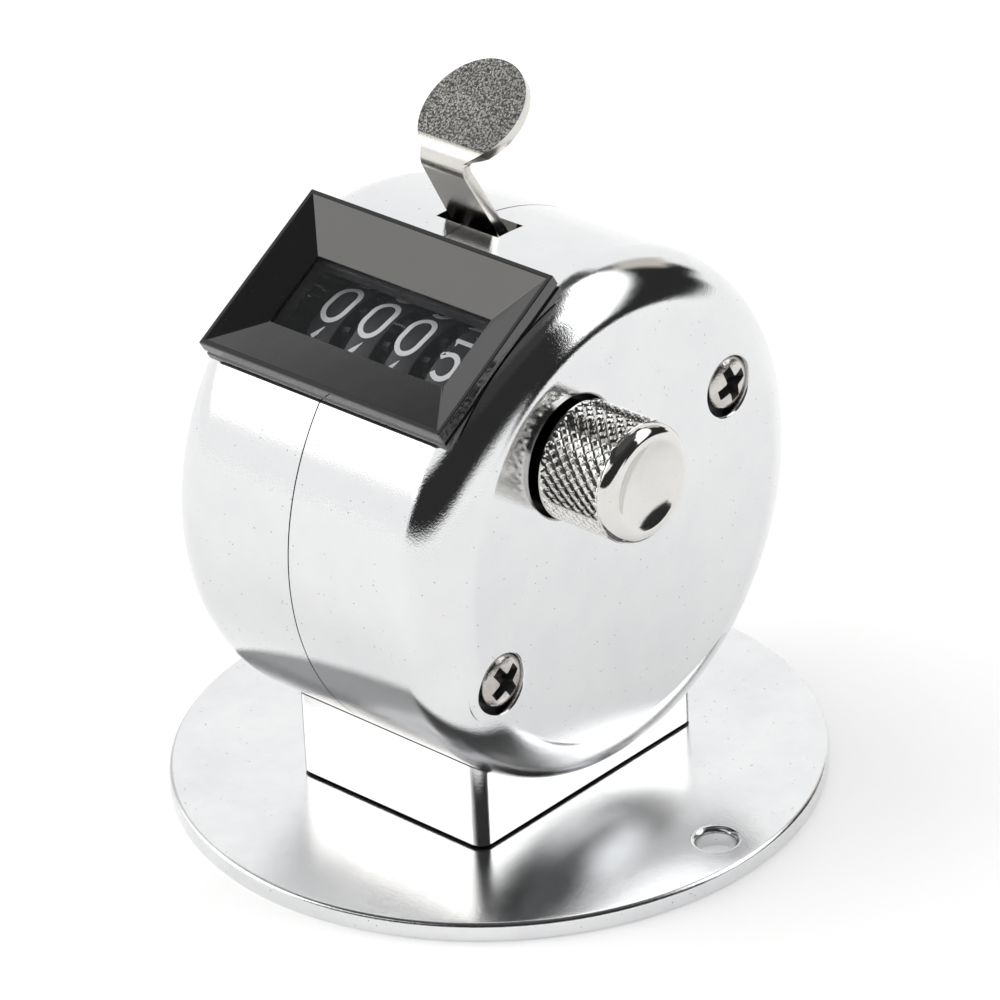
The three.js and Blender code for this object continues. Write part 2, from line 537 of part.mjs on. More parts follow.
// Outline of the bent strip in the Y-Z plane, from its lower end in the case to its end under the pad.
function leverOutline() {
  const { armLean, bendRadius, sheet, slotPoint, bottomZ } = LEVER;
  const armUp = new THREE.Vector2(-Math.sin(armLean), Math.cos(armLean));
  const padUp = new THREE.Vector2(Math.cos(PAD.tilt), Math.sin(PAD.tilt));
  const rear = new THREE.Vector2(Math.cos(armLean), Math.sin(armLean));
  const under = new THREE.Vector2(Math.sin(PAD.tilt), -Math.cos(PAD.tilt));
  const padTop = new THREE.Vector2(PAD.y, PAD.z);
  const across = slotPoint.clone().sub(padTop);
  const cross = padUp.x * armUp.y - padUp.y * armUp.x;
  const along = (across.x * armUp.y - across.y * armUp.x) / cross;
  const corner = padTop.clone().addScaledVector(padUp, along);
  const turn = Math.PI / 2 + armLean - PAD.tilt;
  const tangent = bendRadius * Math.tan(turn / 2);
  const centre = corner.clone().addScaledVector(armUp, -tangent).addScaledVector(rear, bendRadius);
  const bottom = slotPoint.clone().addScaledVector(armUp, (bottomZ - slotPoint.y) / armUp.y);
  const padEnd = padTop.clone().addScaledVector(padUp, PAD.halfLength + OVERSHOOT);
  const startAngle = Math.PI + armLean;
  const endAngle = Math.PI / 2 + PAD.tilt;
  const shape = new THREE.Shape();
  shape.absarc(centre.x, centre.y, bendRadius, startAngle, endAngle, true);
  shape.lineTo(padEnd.x, padEnd.y);
  shape.lineTo(padEnd.x + under.x * sheet, padEnd.y + under.y * sheet);
  shape.absarc(centre.x, centre.y, bendRadius - sheet, endAngle, startAngle, false);
  shape.lineTo(bottom.x + rear.x * sheet, bottom.y + rear.y * sheet);
  shape.lineTo(bottom.x, bottom.y);
  return shape;
}

// Oval cutter that gives the pad its outline, square to the pad.
function padCutter() {
  const outline = new THREE.Shape();
  outline.absellipse(0, 0, PAD.halfWidth, PAD.halfLength, 0, Math.PI * 2);
  const depth = LEVER.sheet + 2 * SCREW_CLEARANCE;
  const geometry = new THREE.ExtrudeGeometry(outline, { depth, bevelEnabled: false, curveSegments: 20 });
  geometry.translate(0, 0, -LEVER.sheet - SCREW_CLEARANCE);
  geometry.rotateX(PAD.tilt);
  geometry.translate(PAD.x, PAD.y, PAD.z);
  return toSolid(geometry);
}

// Ear folded forward from the lower arm to the lever shaft.
function leverEar(lowX) {
  const shape = new THREE.Shape();
  const { y, z } = LEVER_SHAFT;
  const footZ = LEVER.bottomZ + EAR.footRise;
  const armPoint = (height) =>
    LEVER.slotPoint.x + (LEVER.slotPoint.y - height) * Math.tan(LEVER.armLean) + EAR.armOverlap;
  shape.absarc(y, z, EAR.hubRadius, Math.PI * 0.53, Math.PI * 1.53, false);
  shape.lineTo(armPoint(footZ), footZ);
  shape.lineTo(armPoint(EAR.topZ), EAR.topZ);
  return slabX(shape, lowX, lowX + EAR.thickness, 6);
}

function thumbLever() {
  const lowX = LEVER.x - LEVER.halfWidth;
  const highX = LEVER.x + LEVER.halfWidth;
  const reach = PAD.halfWidth + OVERSHOOT;
  const sheet = slabX(leverOutline(), PAD.x - reach, PAD.x + reach, 10);
  const low = LEVER.bottomZ - OVERSHOOT;
  const bendCutter = box(lowX, highX, -PAD.z, PAD.y - PAD.halfLength / 2, low, PAD.z);
  const armCutter = box(lowX, highX, -PAD.z, PAD.z, low, PAD.z - PAD.halfLength);
  const strip = sheet.intersect(join(padCutter(), bendCutter, armCutter));
  const bore = rodX(LEVER_SHAFT.radius + PRESS_GAP, lowX - OVERSHOOT, highX + OVERSHOOT, LEVER_SHAFT, 16);
  return cut(join(strip, leverEar(lowX + EAR.inset), leverEar(highX - EAR.inset - EAR.thickness)), bore);
}

const leverShaft = () => rodX(LEVER_SHAFT.radius, -SHAFT_END_X, SHAFT_END_X, LEVER_SHAFT, 16);

// A flat link with a round end at each of two places in the Y-Z plane.
function linkOutline(firstY, firstZ, firstRadius, secondY, secondZ, secondRadius) {
  const along = Math.atan2(secondZ - firstZ, secondY - firstY);
  const shape = new THREE.Shape();
  shape.absarc(firstY, firstZ, firstRadius, along + Math.PI / 2, along + Math.PI * 1.5, false);
  shape.absarc(secondY, secondZ, secondRadius, along - Math.PI / 2, along + Math.PI / 2, false);
  return shape;
}

function pawlArm() {
  const { lowX, highX, hubRadius } = PAWL_ARM;
  const pivot = { y: PAWL.pivotY, z: PAWL.pivotZ };
  const outline = linkOutline(LEVER_SHAFT.y, LEVER_SHAFT.z, hubRadius, pivot.y, pivot.z, PAWL.hubRadius);
  const hole = (radius, place, segments) =>
    rodX(radius + PRESS_GAP, lowX - OVERSHOOT, highX + OVERSHOOT, place, segments);
  return cut(slabX(outline, lowX, highX, 6), hole(LEVER_SHAFT.radius, LEVER_SHAFT, 16),
    hole(PAWL_PIN.radius, pivot, 12));
}

function drivePawl() {
  const pivot = { y: PAWL.pivotY, z: PAWL.pivotZ };
  const outline = linkOutline(pivot.y, pivot.z, PAWL.hubRadius, PAWL.tipY, PAWL.tipZ, PAWL.tipRadius);
  const { lowX, highX } = RATCHET;
  const bore = rodX(PAWL_PIN.radius + RUNNING_GAP, lowX - OVERSHOOT, highX + OVERSHOOT, pivot, 12);
  return cut(slabX(outline, lowX, highX, 6), bore);
}

function pawlPin() {
  const { radius, headRadius, headHeight, endX } = PAWL_PIN;
  const headX = RATCHET.lowX - PARTING_GAP;
  return turnedX(
    [[0, headX - headHeight], [headRadius, headX - headHeight], [headRadius, headX], [radius, headX],
      [radius, endX], [0, endX]], { y: PAWL.pivotY, z: PAWL.pivotZ }, 12);
}

// Leaf that stops the ratchet from running back, clipped round the front spacer.
function backstopSpring() {
  const spacer = SPACERS.find(({ name }) => name === 'frame_spacer_front');
  const { foot, tip, halfThickness, clipRadius, clipShift } = BACKSTOP;
  const { lowX, highX } = RATCHET;
  const clipEnd = [spacer.y + clipShift[0], spacer.z + clipShift[1]];
  const outline = linkOutline(spacer.y, spacer.z, clipRadius, ...clipEnd, clipRadius);
  const leaf = linkOutline(...foot, halfThickness, ...tip, halfThickness);
  const bore = rodX(SPACER_RADIUS + PRESS_GAP, lowX - OVERSHOOT, highX + OVERSHOOT, spacer, 16);
  return cut(join(slabX(outline, lowX, highX, 6), slabX(leaf, lowX, highX, 3)), bore);
}

// Torsion spring wound on the lever shaft, one leg to the lever and one to the left frame plate.
class SpringPath extends THREE.Curve {
  getPoint(t, target = new THREE.Vector3()) {
    const { coilRadius, lowX, highX, turns, leg } = RETURN_SPRING;
    if (t < leg.share) {
      const s = 1 - t / leg.share;
      return target.set(highX, LEVER_SHAFT.y + leg.length * s, LEVER_SHAFT.z - coilRadius);
    }
    if (t > 1 - leg.share) {
      const s = (t - 1 + leg.share) / leg.share;
      return target.set(lowX, LEVER_SHAFT.y + leg.length * s, LEVER_SHAFT.z - coilRadius - leg.drop * s);
    }
    const s = (t - leg.share) / (1 - 2 * leg.share);
    const angle = -Math.PI / 2 - s * turns * Math.PI * 2;
    return target.set(highX + (lowX - highX) * s, LEVER_SHAFT.y + coilRadius * Math.cos(angle),
      LEVER_SHAFT.z + coilRadius * Math.sin(angle));
  }
}

function returnSpring() {
  const section = new THREE.Shape();
  section.absarc(0, 0, RETURN_SPRING.wireRadius, 0, Math.PI * 2);
  const geometry = new THREE.ExtrudeGeometry(
    section, { steps: 66, curveSegments: 3, bevelEnabled: false, extrudePath: new SpringPath() });
  return toSolid(geometry);
}

// ---------- assembly ----------

const group = new THREE.Group();

function addPart(name, finish, solid) {
  const material = new THREE.MeshStandardMaterial(COLOURS[finish]);
  const mesh = new THREE.Mesh(toGeometry(solid), material);
  mesh.name = name;
  group.add(mesh);
}

addPart('base_plate', 'chrome', basePlate());
addPart('mounting_block', 'chrome', mountingBlock());
addPart('base_screw_front', 'steel', baseScrew(-BASE_SCREW.y));
addPart('base_screw_rear', 'steel', baseScrew(BASE_SCREW.y));
addPart('block_screw_left', 'steel', blockScrew(-BLOCK_SCREW.x));
addPart('block_screw_right', 'steel', blockScrew(BLOCK_SCREW.x));

addPart('left_case_shell', 'chrome', leftCaseShell());
addPart('right_case_shell', 'chrome', rightCaseShell());
CASE_SCREWS.forEach((place) => addPart(place.name, 'nickel', caseScrew(place)));
addPart('window_bezel', 'gloss_black', windowBezel());
addPart('window_lens', 'clear', windowLens());

addPart('left_frame_plate', 'steel', framePlate(-1));
addPart('right_frame_plate', 'steel', framePlate(1));
SPACERS.forEach((place) => addPart(place.name, 'steel', frameSpacer(place)));
addPart('foot_bar', 'steel', footBar());
addPart('left_axle_bush', 'brass', axleBush(-1));
addPart('right_axle_bush', 'brass', axleBush(1));
addPart('shaft_collar', 'brass', shaftCollar());

addPart('number_shaft', 'steel', numberShaft());
WHEEL_NAMES.forEach((name, position) => addPart(name, 'matte_black', numberWheel(position)));
addPart('ratchet_wheel', 'steel', ratchetWheel());
addPart('pinion_shaft', 'steel', pinionShaft());
['tens', 'hundreds', 'thousands'].forEach((name, position) =>
  addPart(`${name}_transfer_pinion`, 'brass', transferPinion(position)));
addPart('reset_knob', 'nickel', resetKnob());
addPart('knob_washer', 'matte_black', knobWasher());

addPart('thumb_lever', 'nickel', thumbLever());
addPart('lever_shaft', 'steel', leverShaft());
addPart('pawl_arm', 'steel', pawlArm());
addPart('drive_pawl', 'steel', drivePawl());
addPart('pawl_pin', 'steel', pawlPin());
addPart('backstop_spring', 'steel', backstopSpring());
addPart('lever_return_spring', 'steel', returnSpring());

export default group;
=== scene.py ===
"""The looks of a desk tally counter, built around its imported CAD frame.

Lengths are in metres, in the row frame: +Z up, the number window towards -Y, the reset knob along +X.
Window coordinates are x, v (up the slope of the window) and n (out of it), measured from the drum's axis.
"""

import json
import math

import bmesh
import bpy
from mathutils import Matrix, Vector, noise


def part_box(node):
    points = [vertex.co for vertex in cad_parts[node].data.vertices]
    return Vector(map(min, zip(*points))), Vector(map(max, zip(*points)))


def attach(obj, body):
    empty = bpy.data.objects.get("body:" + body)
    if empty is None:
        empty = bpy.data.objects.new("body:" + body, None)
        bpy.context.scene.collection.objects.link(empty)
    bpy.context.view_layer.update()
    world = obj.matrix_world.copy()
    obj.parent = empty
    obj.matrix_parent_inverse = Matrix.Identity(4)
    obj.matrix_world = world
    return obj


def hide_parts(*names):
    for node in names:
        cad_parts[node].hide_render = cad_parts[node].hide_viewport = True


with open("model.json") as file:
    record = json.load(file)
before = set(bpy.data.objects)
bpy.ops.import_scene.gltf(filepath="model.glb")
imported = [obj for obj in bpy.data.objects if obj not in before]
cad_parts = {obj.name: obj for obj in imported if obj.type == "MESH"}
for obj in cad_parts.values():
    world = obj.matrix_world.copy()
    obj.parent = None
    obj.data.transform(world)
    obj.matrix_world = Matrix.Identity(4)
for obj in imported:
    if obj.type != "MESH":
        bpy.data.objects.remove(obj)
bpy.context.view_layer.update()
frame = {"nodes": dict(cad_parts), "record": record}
MM = 0.001
TURN = 2 * math.pi


# ---------- places and sizes ----------

def middle(node):
    low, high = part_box(node)
    return (low + high) / 2


def radius_of(node):
    low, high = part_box(node)
    return (high.y - low.y) / 2


CASE_AXIS = middle("left_case_shell")
CASE_RADIUS = radius_of("left_case_shell")
CASE_HALF_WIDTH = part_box("right_case_shell")[1].x
CASE_FILLET = 4.8 * MM
CASE_WALL = 1.3 * MM
CASE_FACE_RADIUS = CASE_RADIUS - CASE_FILLET
SEAM_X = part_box("right_case_shell")[0].x - 0.05 * MM
SEAM_GAP = 0.13 * MM

WINDOW_TILT = math.radians(31.25)
TO_WORLD = Matrix.Translation((0, CASE_AXIS.y, CASE_AXIS.z)) @ Matrix.Rotation(WINDOW_TILT, 4, "X")
TO_WINDOW = TO_WORLD.inverted()

WINDOW_LAND = 21.25 * MM
SLOT_LOW = Vector((-3.9, -0.6, 47.0)) * MM
SLOT_HIGH = Vector((3.3, 2.7, 60.0)) * MM

NUMBER_AXIS = middle("reset_knob")
LEVER_AXIS = middle("lever_shaft")
WHEEL_RADIUS = 8.5 * MM
WHEEL_RIM_LOW = -1.5 * MM
WHEEL_RIM_HIGH = 1.4 * MM
WHEEL_PITCH = 4.7 * MM
FIRST_WHEEL_X = 6.6 * MM
WHEELS = ["units", "tens", "hundreds", "thousands"]


def window_box(node):
    """Lowest and highest corner of a CAD node in window coordinates."""
    points = [TO_WINDOW @ v.co for v in frame["nodes"][node].data.vertices]
    low = Vector([min(p[axis] for p in points) for axis in range(3)])
    high = Vector([max(p[axis] for p in points) for axis in range(3)])
    return low, high


# ---------- meshes ----------

def turned(profile, axis, centre, segments=96):
    """A solid turned round an axis parallel to X or Z, from a profile of (radius, place along the axis)."""
    bm = bmesh.new()

    def spot(radius, along, angle):
        across, up = radius * math.cos(angle), radius * math.sin(angle)
        if axis == "X":
            return (along, centre[1] + across, centre[2] + up)
        return (centre[0] + across, centre[1] + up, along)

    rings = []
    for radius, along in profile:
        count = segments if radius > 1e-9 else 1
        rings.append([bm.verts.new(spot(radius, along, TURN * i / segments)) for i in range(count)])
    pairs = list(zip(rings, rings[1:]))
    if len(rings[0]) > 1:
        pairs.append((rings[-1], rings[0]))
    for low, high in pairs:
        for i in range(segments):
            j = (i + 1) % segments
            corners = [low[i % len(low)], low[j % len(low)], high[j % len(high)], high[i % len(high)]]
            bm.faces.new(list(dict.fromkeys(corners)))
    bmesh.ops.recalc_face_normals(bm, faces=bm.faces)
    return bm


def block(low, high, matrix=None):
    """A rectangular solid between two corners, carried by a matrix."""
    bm = bmesh.new()
    bmesh.ops.create_cube(bm, size=1)
    for v in bm.verts:
        v.co = Vector([low[i] + (v.co[i] + 0.5) * (high[i] - low[i]) for i in range(3)])
    if matrix is not None:
        bm.transform(matrix)
    return bm


def extruded(outline, low, high, spot):
    """A flat outline given a thickness. spot(a, b, c) turns outline place a, b and depth c into a point."""
    bm = bmesh.new()
    bottom = [bm.verts.new(spot(a, b, low)) for a, b in outline]
    top = [bm.verts.new(spot(a, b, high)) for a, b in outline]
    bm.faces.new(bottom)
    bm.faces.new(top)
    for i in range(len(outline)):
        j = (i + 1) % len(outline)
        bm.faces.new([bottom[i], bottom[j], top[j], top[i]])
    bmesh.ops.recalc_face_normals(bm, faces=bm.faces)
    return bm


def as_mesh(bm, name="solid"):
    mesh = bpy.data.meshes.new(name)
    bm.to_mesh(mesh)
    bm.free()
    return mesh


def carved(solid, *steps):
    """A solid with (operation, other solid) steps done to it in turn, as a mesh."""
    scene = bpy.context.scene
    subject = bpy.data.objects.new("subject", as_mesh(solid))
    scene.collection.objects.link(subject)
    tools = []
    for operation, other in steps:
        tool = bpy.data.objects.new("tool", as_mesh(other))
        scene.collection.objects.link(tool)
        tools.append(tool)
        modifier = subject.modifiers.new("cut", "BOOLEAN")
        modifier.operation = operation
        modifier.solver = "MANIFOLD"
        modifier.object = tool
    graph = bpy.context.evaluated_depsgraph_get()
    mesh = bpy.data.meshes.new_from_object(subject.evaluated_get(graph))
    for spent in [subject, *tools]:
        data = spent.data
        bpy.data.objects.remove(spent)
        bpy.data.meshes.remove(data)
    return mesh


def to_bmesh(mesh):
    bm = bmesh.new()
    bm.from_mesh(mesh)
    return bm


def shade(mesh, limit):
    """Smooth shading that breaks at edges sharper than limit degrees."""
    bm = to_bmesh(mesh)
    for face in bm.faces:
        face.smooth = True
    for edge in bm.edges:
        edge.smooth = edge.calc_face_angle(0) < math.radians(limit)
    bm.to_mesh(mesh)
    bm.free()


def add_piece(name, mesh, materials, body, replaces=(), limit=32, weighted=True):
    """A finished piece: shaded, painted, and riding on its CAD body."""
    if isinstance(mesh, bmesh.types.BMesh):
        mesh = as_mesh(mesh, name)
    mesh.name = name
    shade(mesh, limit)
    piece = bpy.data.objects.new(name, mesh)
    bpy.context.scene.collection.objects.link(piece)
    mesh.materials.clear()
    for material in materials:
        mesh.materials.append(material)
    if weighted:
        modifier = piece.modifiers.new("even shading", "WEIGHTED_NORMAL")
        modifier.keep_sharp = True
        modifier.weight = 100
    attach(piece, body)
    if replaces:
        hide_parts(*replaces)
    return piece


def joined(*parts):
    """Several solids as one mesh."""
    whole = bmesh.new()
    for part in parts:
        mesh = as_mesh(part)
        whole.from_mesh(mesh)
        bpy.data.meshes.remove(mesh)
    return whole


def bevelled(bm, offset, segments, minimum=40):
    """Rounds every edge of a solid that turns more than minimum degrees."""
    edges = [e for e in bm.edges if e.calc_face_angle(0) > math.radians(minimum)]
    bmesh.ops.bevel(bm, geom=edges, offset=offset, segments=segments, profile=0.5, affect="EDGES",
                    clamp_overlap=True)
    return bm


def arc(centre_a, centre_b, radius_a, radius_b, start, end, steps):
    """Points on an ellipse from one angle to another, in degrees."""
    points = []
    for step in range(steps + 1):
        angle = math.radians(start + (end - start) * step / steps)
        points.append((centre_a + radius_a * math.cos(angle), centre_b + radius_b * math.sin(angle)))
    return points


# ---------- materials ----------

class Graph:
    """A small helper that adds nodes to a tree. Numbers and sockets are both taken as inputs."""

    def __init__(self, tree):
        self.tree = tree
        tree.nodes.clear()

    def node(self, kind, inputs=None, **settings):
        made = self.tree.nodes.new(kind)
        for key, value in settings.items():
            setattr(made, key, value)
        for key, value in (inputs or {}).items():
            self.feed(made.inputs[key], value)
        return made

    def feed(self, socket, value):
        if isinstance(value, bpy.types.NodeSocket):
            self.tree.links.new(value, socket)
        else:
            socket.default_value = value

    def math(self, operation, *values, clamp=False):
        made = self.node("ShaderNodeMath", operation=operation, use_clamp=clamp)
        for socket, value in zip(made.inputs, values):
            self.feed(socket, value)
        return made.outputs[0]

    def remap(self, value, low, high, to_low=0.0, to_high=1.0, smooth=False):
        kind = "SMOOTHSTEP" if smooth else "LINEAR"
        made = self.node("ShaderNodeMapRange", interpolation_type=kind, inputs={
            "Value": value, "From Min": low, "From Max": high, "To Min": to_low, "To Max": to_high})
        return made.outputs["Result"]

    def noise(self, coords, size, detail=2.0, roughness=0.5):
        """Noise whose features are about size metres across."""
        made = self.node("ShaderNodeTexNoise", inputs={
            "Vector": coords, "Scale": 1 / size, "Detail": detail, "Roughness": roughness})
        return made.outputs["Fac"]

    def blend(self, share, first, second):
        made = self.node("ShaderNodeMix", data_type="RGBA")
        self.feed(made.inputs["Factor"], share)
        self.feed(made.inputs["A"], first)
        self.feed(made.inputs["B"], second)
        return made.outputs["Result"]

    def bump(self, height, distance, strength=1.0, normal=None):
        inputs = {"Height": height, "Distance": distance, "Strength": strength}
        if normal is not None:
            inputs["Normal"] = normal
        return self.node("ShaderNodeBump", inputs=inputs).outputs["Normal"]


def rgb(red, green, blue):
    return (red, green, blue, 1.0)


def surface(name, light, dark, roughness, spread, grain, depth, wave=0.0, wave_size=6 * MM, metallic=1.0,
            stretch=(1, 1, 1), pits=0.0, pit_size=0.5 * MM, ior=1.5, speckle=0.0, glow=0.0):
    """A finish with mottled colour, uneven roughness, a fine grain and a slow wave in its surface.

    light and dark are its two tints, grain the size of its fine texture and depth how deep that is.
    pits is how dark its small specks are and speckle how dark its grain, from 0 for none. glow is
    how much white light it gives off."""
    material = bpy.data.materials.new(name)
    material.use_nodes = True
    graph = Graph(material.node_tree)
    place = graph.node("ShaderNodeTexCoord").outputs["Object"]
    coords = graph.node("ShaderNodeMapping", inputs={"Vector": place, "Scale": stretch}).outputs["Vector"]
    fine = graph.noise(coords, grain, detail=3.0, roughness=0.6)
    broad = graph.noise(place, 7 * MM, detail=4.0, roughness=0.65)
    colour = graph.blend(graph.remap(broad, 0.35, 0.65), light, dark)
    rough = graph.remap(broad, 0.3, 0.7, roughness - spread, roughness + spread)
    rough = graph.math("ADD", rough, graph.remap(fine, 0.45, 0.75, 0.0, spread))
    if pits > 0:
        cells = graph.node("ShaderNodeTexVoronoi", inputs={"Vector": place, "Scale": 1 / pit_size})
        speck = graph.remap(cells.outputs["Distance"], 0.09, 0.15, 1.0, 0.0)
        sparse = graph.remap(graph.noise(place, 1.7 * pit_size, detail=1.0), 0.58, 0.63)
        speck = graph.math("MULTIPLY", graph.math("MULTIPLY", speck, sparse), pits)
        colour = graph.blend(speck, colour, rgb(0.08, 0.08, 0.08))
        rough = graph.math("ADD", rough, graph.math("MULTIPLY", speck, 0.3))
    if speckle > 0:
        dark_grain = graph.remap(graph.noise(place, 1.3 * grain, detail=1.0), 0.4, 0.58, speckle, 0.0)
        colour = graph.blend(dark_grain, colour, rgb(0.05, 0.05, 0.05))
    normal = graph.bump(fine, depth)
    if wave > 0:
        normal = graph.bump(graph.noise(place, wave_size, detail=1.0), wave, normal=normal)
    shader = graph.node("ShaderNodeBsdfPrincipled", inputs={
        "Base Color": colour, "Metallic": metallic, "Roughness": rough, "Normal": normal, "IOR": ior,
        "Emission Color": rgb(1, 1, 1), "Emission Strength": glow})
    out = graph.node("ShaderNodeOutputMaterial")
    graph.tree.links.new(shader.outputs["BSDF"], out.inputs["Surface"])
    return material


def clear_pane():
    """Thin clear acrylic with faint wipe marks."""
    material = bpy.data.materials.new("clear acrylic")
    material.use_nodes = True
    graph = Graph(material.node_tree)
    place = graph.node("ShaderNodeTexCoord").outputs["Object"]
    long_marks = graph.node("ShaderNodeMapping", inputs={
        "Vector": place, "Rotation": (0, 0, 0.12), "Scale": (0.06, 1, 1)}).outputs["Vector"]
    marks = graph.remap(graph.noise(long_marks, 0.16 * MM, detail=2.0), 0.66, 0.74)
    patches = graph.remap(graph.noise(place, 5 * MM, detail=2.0), 0.5, 0.62)
    haze = graph.math("MULTIPLY", marks, patches)
    alpha = graph.remap(haze, 0.0, 1.0, 0.02, 0.3)
    shader = graph.node("ShaderNodeBsdfPrincipled", inputs={
        "Base Color": rgb(0.5, 0.52, 0.54), "Roughness": 0.03, "IOR": 1.49, "Alpha": alpha})
    out = graph.node("ShaderNodeOutputMaterial")
    graph.tree.links.new(shader.outputs["BSDF"], out.inputs["Surface"])
    return material


CHROME = surface("case chrome", rgb(0.745, 0.75, 0.755), rgb(0.715, 0.72, 0.73), 0.04, 0.015, 0.17 * MM,
                 0.009 * MM, wave=0.02 * MM, pits=0.7, pit_size=0.5 * MM)
BASE_CHROME = surface("base chrome", rgb(0.78, 0.785, 0.79), rgb(0.73, 0.735, 0.745), 0.15, 0.03, 0.16 * MM,
                      0.011 * MM, wave=0.02 * MM, pits=0.75, pit_size=0.5 * MM)
BLOCK_CHROME = surface("block chrome", rgb(0.84, 0.84, 0.835), rgb(0.78, 0.78, 0.775), 0.1, 0.03, 0.16 * MM,
                       0.012 * MM, pits=0.85, pit_size=0.33 * MM)
KNOB_NICKEL = surface("knob nickel", rgb(0.71, 0.7, 0.68), rgb(0.66, 0.65, 0.63), 0.07, 0.02, 0.2 * MM,
                      0.003 * MM, pits=0.4, pit_size=0.4 * MM)
SCREW_NICKEL = surface("screw nickel", rgb(0.66, 0.64, 0.62), rgb(0.42, 0.39, 0.37), 0.15, 0.06, 0.22 * MM,
                       0.03 * MM, pits=0.7, pit_size=0.3 * MM)
LEVER_NICKEL = surface("lever nickel", rgb(0.7, 0.685, 0.65), rgb(0.63, 0.61, 0.575), 0.2, 0.03, 0.15 * MM,
                       0.01 * MM, pits=0.5, pit_size=0.35 * MM)
PAD_GRAIN = surface("blasted pad", rgb(0.5, 0.495, 0.48), rgb(0.38, 0.375, 0.365), 0.2, 0.05, 0.16 * MM,
                    0.05 * MM, speckle=0.9)
# Painted shade: a near-black put on faces in gaps and recesses where shade falls, at the block's foot, in its
# saddle and in the screws' crosses.
PAINTED_SHADE_DARK = surface("painted shade in the gaps", rgb(0.03, 0.028, 0.027), rgb(0.012, 0.011, 0.011), 0.5, 0.1, 0.2 * MM,
                    0.02 * MM, metallic=0.0)
STEEL = surface("brushed steel", rgb(0.6, 0.61, 0.62), rgb(0.5, 0.51, 0.53), 0.34, 0.08, 0.3 * MM,
                0.004 * MM, stretch=(1, 0.08, 1))
BRASS = surface("turned brass", rgb(0.76, 0.6, 0.31), rgb(0.66, 0.5, 0.25), 0.28, 0.06, 0.25 * MM,
                0.003 * MM, stretch=(1, 0.1, 1))
CAST_GREY = surface("unplated casting", rgb(0.1, 0.1, 0.105), rgb(0.06, 0.06, 0.065), 0.6, 0.1, 0.4 * MM,
                    0.02 * MM, metallic=0.6)
BEZEL_BLACK = surface("black gloss moulding", rgb(0.012, 0.012, 0.0125), rgb(0.008, 0.008, 0.0085), 0.07,
                      0.02, 0.35 * MM, 0.0012 * MM, metallic=0.0, wave=0.008 * MM, pits=0.5,
                      pit_size=0.4 * MM, ior=1.8)
WHEEL_BLACK = surface("black satin moulding", rgb(0.05, 0.052, 0.057), rgb(0.026, 0.028, 0.034), 0.3, 0.06,
                      0.2 * MM, 0.004 * MM, metallic=0.0, ior=1.4)
# Black of the washer inside the case behind the knob. Its black is also painted shade that fills the deep gap
# round the knob.
WASHER_SHADE_BLACK = surface("washer black and painted shade", rgb(0.012, 0.012, 0.012), rgb(0.008, 0.008, 0.008), 0.5, 0.08,
                       0.3 * MM, 0.006 * MM, metallic=0.0)
DIGIT_WHITE = surface("digit paint", rgb(0.88, 0.89, 0.9), rgb(0.82, 0.83, 0.84), 0.4, 0.05, 0.15 * MM,
                      0.003 * MM, metallic=0.0)
CLEAR = clear_pane()

FINISH_OF_SLOT = {
    "chrome": CHROME, "nickel": KNOB_NICKEL, "steel": STEEL, "brass": BRASS, "bezel_black": BEZEL_BLACK,
    "wheel_black": WHEEL_BLACK, "window_clear": CLEAR,
}


def paint_cad_nodes():
    """Every CAD node gets the worked-out finish of its slot."""
    for part in frame["record"]["subparts"]:
        node = frame["nodes"][part["node"]]
        # The knob washer is black; its black is also painted shade for the gap round the knob.
        finish = WASHER_SHADE_BLACK if part["node"] == "knob_washer" else FINISH_OF_SLOT[part["material_slot"]]
        node.data.materials.clear()
        node.data.materials.append(finish)


# ---------- base ----------

def flared_hole(radius, lip, low, face):
    """Profile of a cutter whose hole meets the face with a rounded lip."""
    steps = 5
    mouth = [(radius + lip * (1 - math.cos(t)), face - lip + lip * math.sin(t))
             for t in [math.pi / 2 * i / steps for i in range(steps + 1)]]
    return [(0, low), (radius, low), *mouth, (radius + lip, face + 2 * MM), (0, face + 2 * MM)]


def base_plate():
    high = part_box("base_plate")[1]
    radius, top = high.x, high.z
    edge, foot, steps = 0.45 * MM, 0.2 * MM, 6
    profile = [(0, 0)]
    profile += arc(radius - foot, foot, foot, foot, -90, 0, 3)
    profile += arc(radius - edge, top - edge, edge, edge, 0, 90, steps)
    profile += [(radius - 2 * edge, top), (0, top)]
    disc = turned(profile, "Z", (0, 0), 192)
    hole_x = 25.8 * MM
    holes = [("DIFFERENCE", turned(flared_hole(1.75 * MM, 0.6 * MM, -MM, top), "Z", (side * hole_x, 0), 48))
             for side in (1, -1)]
    seats = []
    for screw in ("base_screw_front", "base_screw_rear"):
        mouth, hole, through = 2.8 * MM, 1.4 * MM, 4 * MM
        profile = [(0, -MM), (mouth, -MM), (mouth, 0.1 * MM), (hole, 1.45 * MM), (hole, through),
                   (0, through)]
        seats.append(("DIFFERENCE", turned(profile, "Z", middle(screw), 32)))
    add_piece("base_disc", carved(disc, *holes, *seats), [BASE_CHROME], "case", ["base_plate"])


def rounded_rectangle(half_a, half_b, radius, steps):
    points = []
    for quarter, (a, b) in enumerate([(1, 1), (-1, 1), (-1, -1), (1, -1)]):
        points += arc(a * (half_a - radius), b * (half_b - radius), radius, radius, 90 * quarter,
                      90 * quarter + 90, steps)
    return points


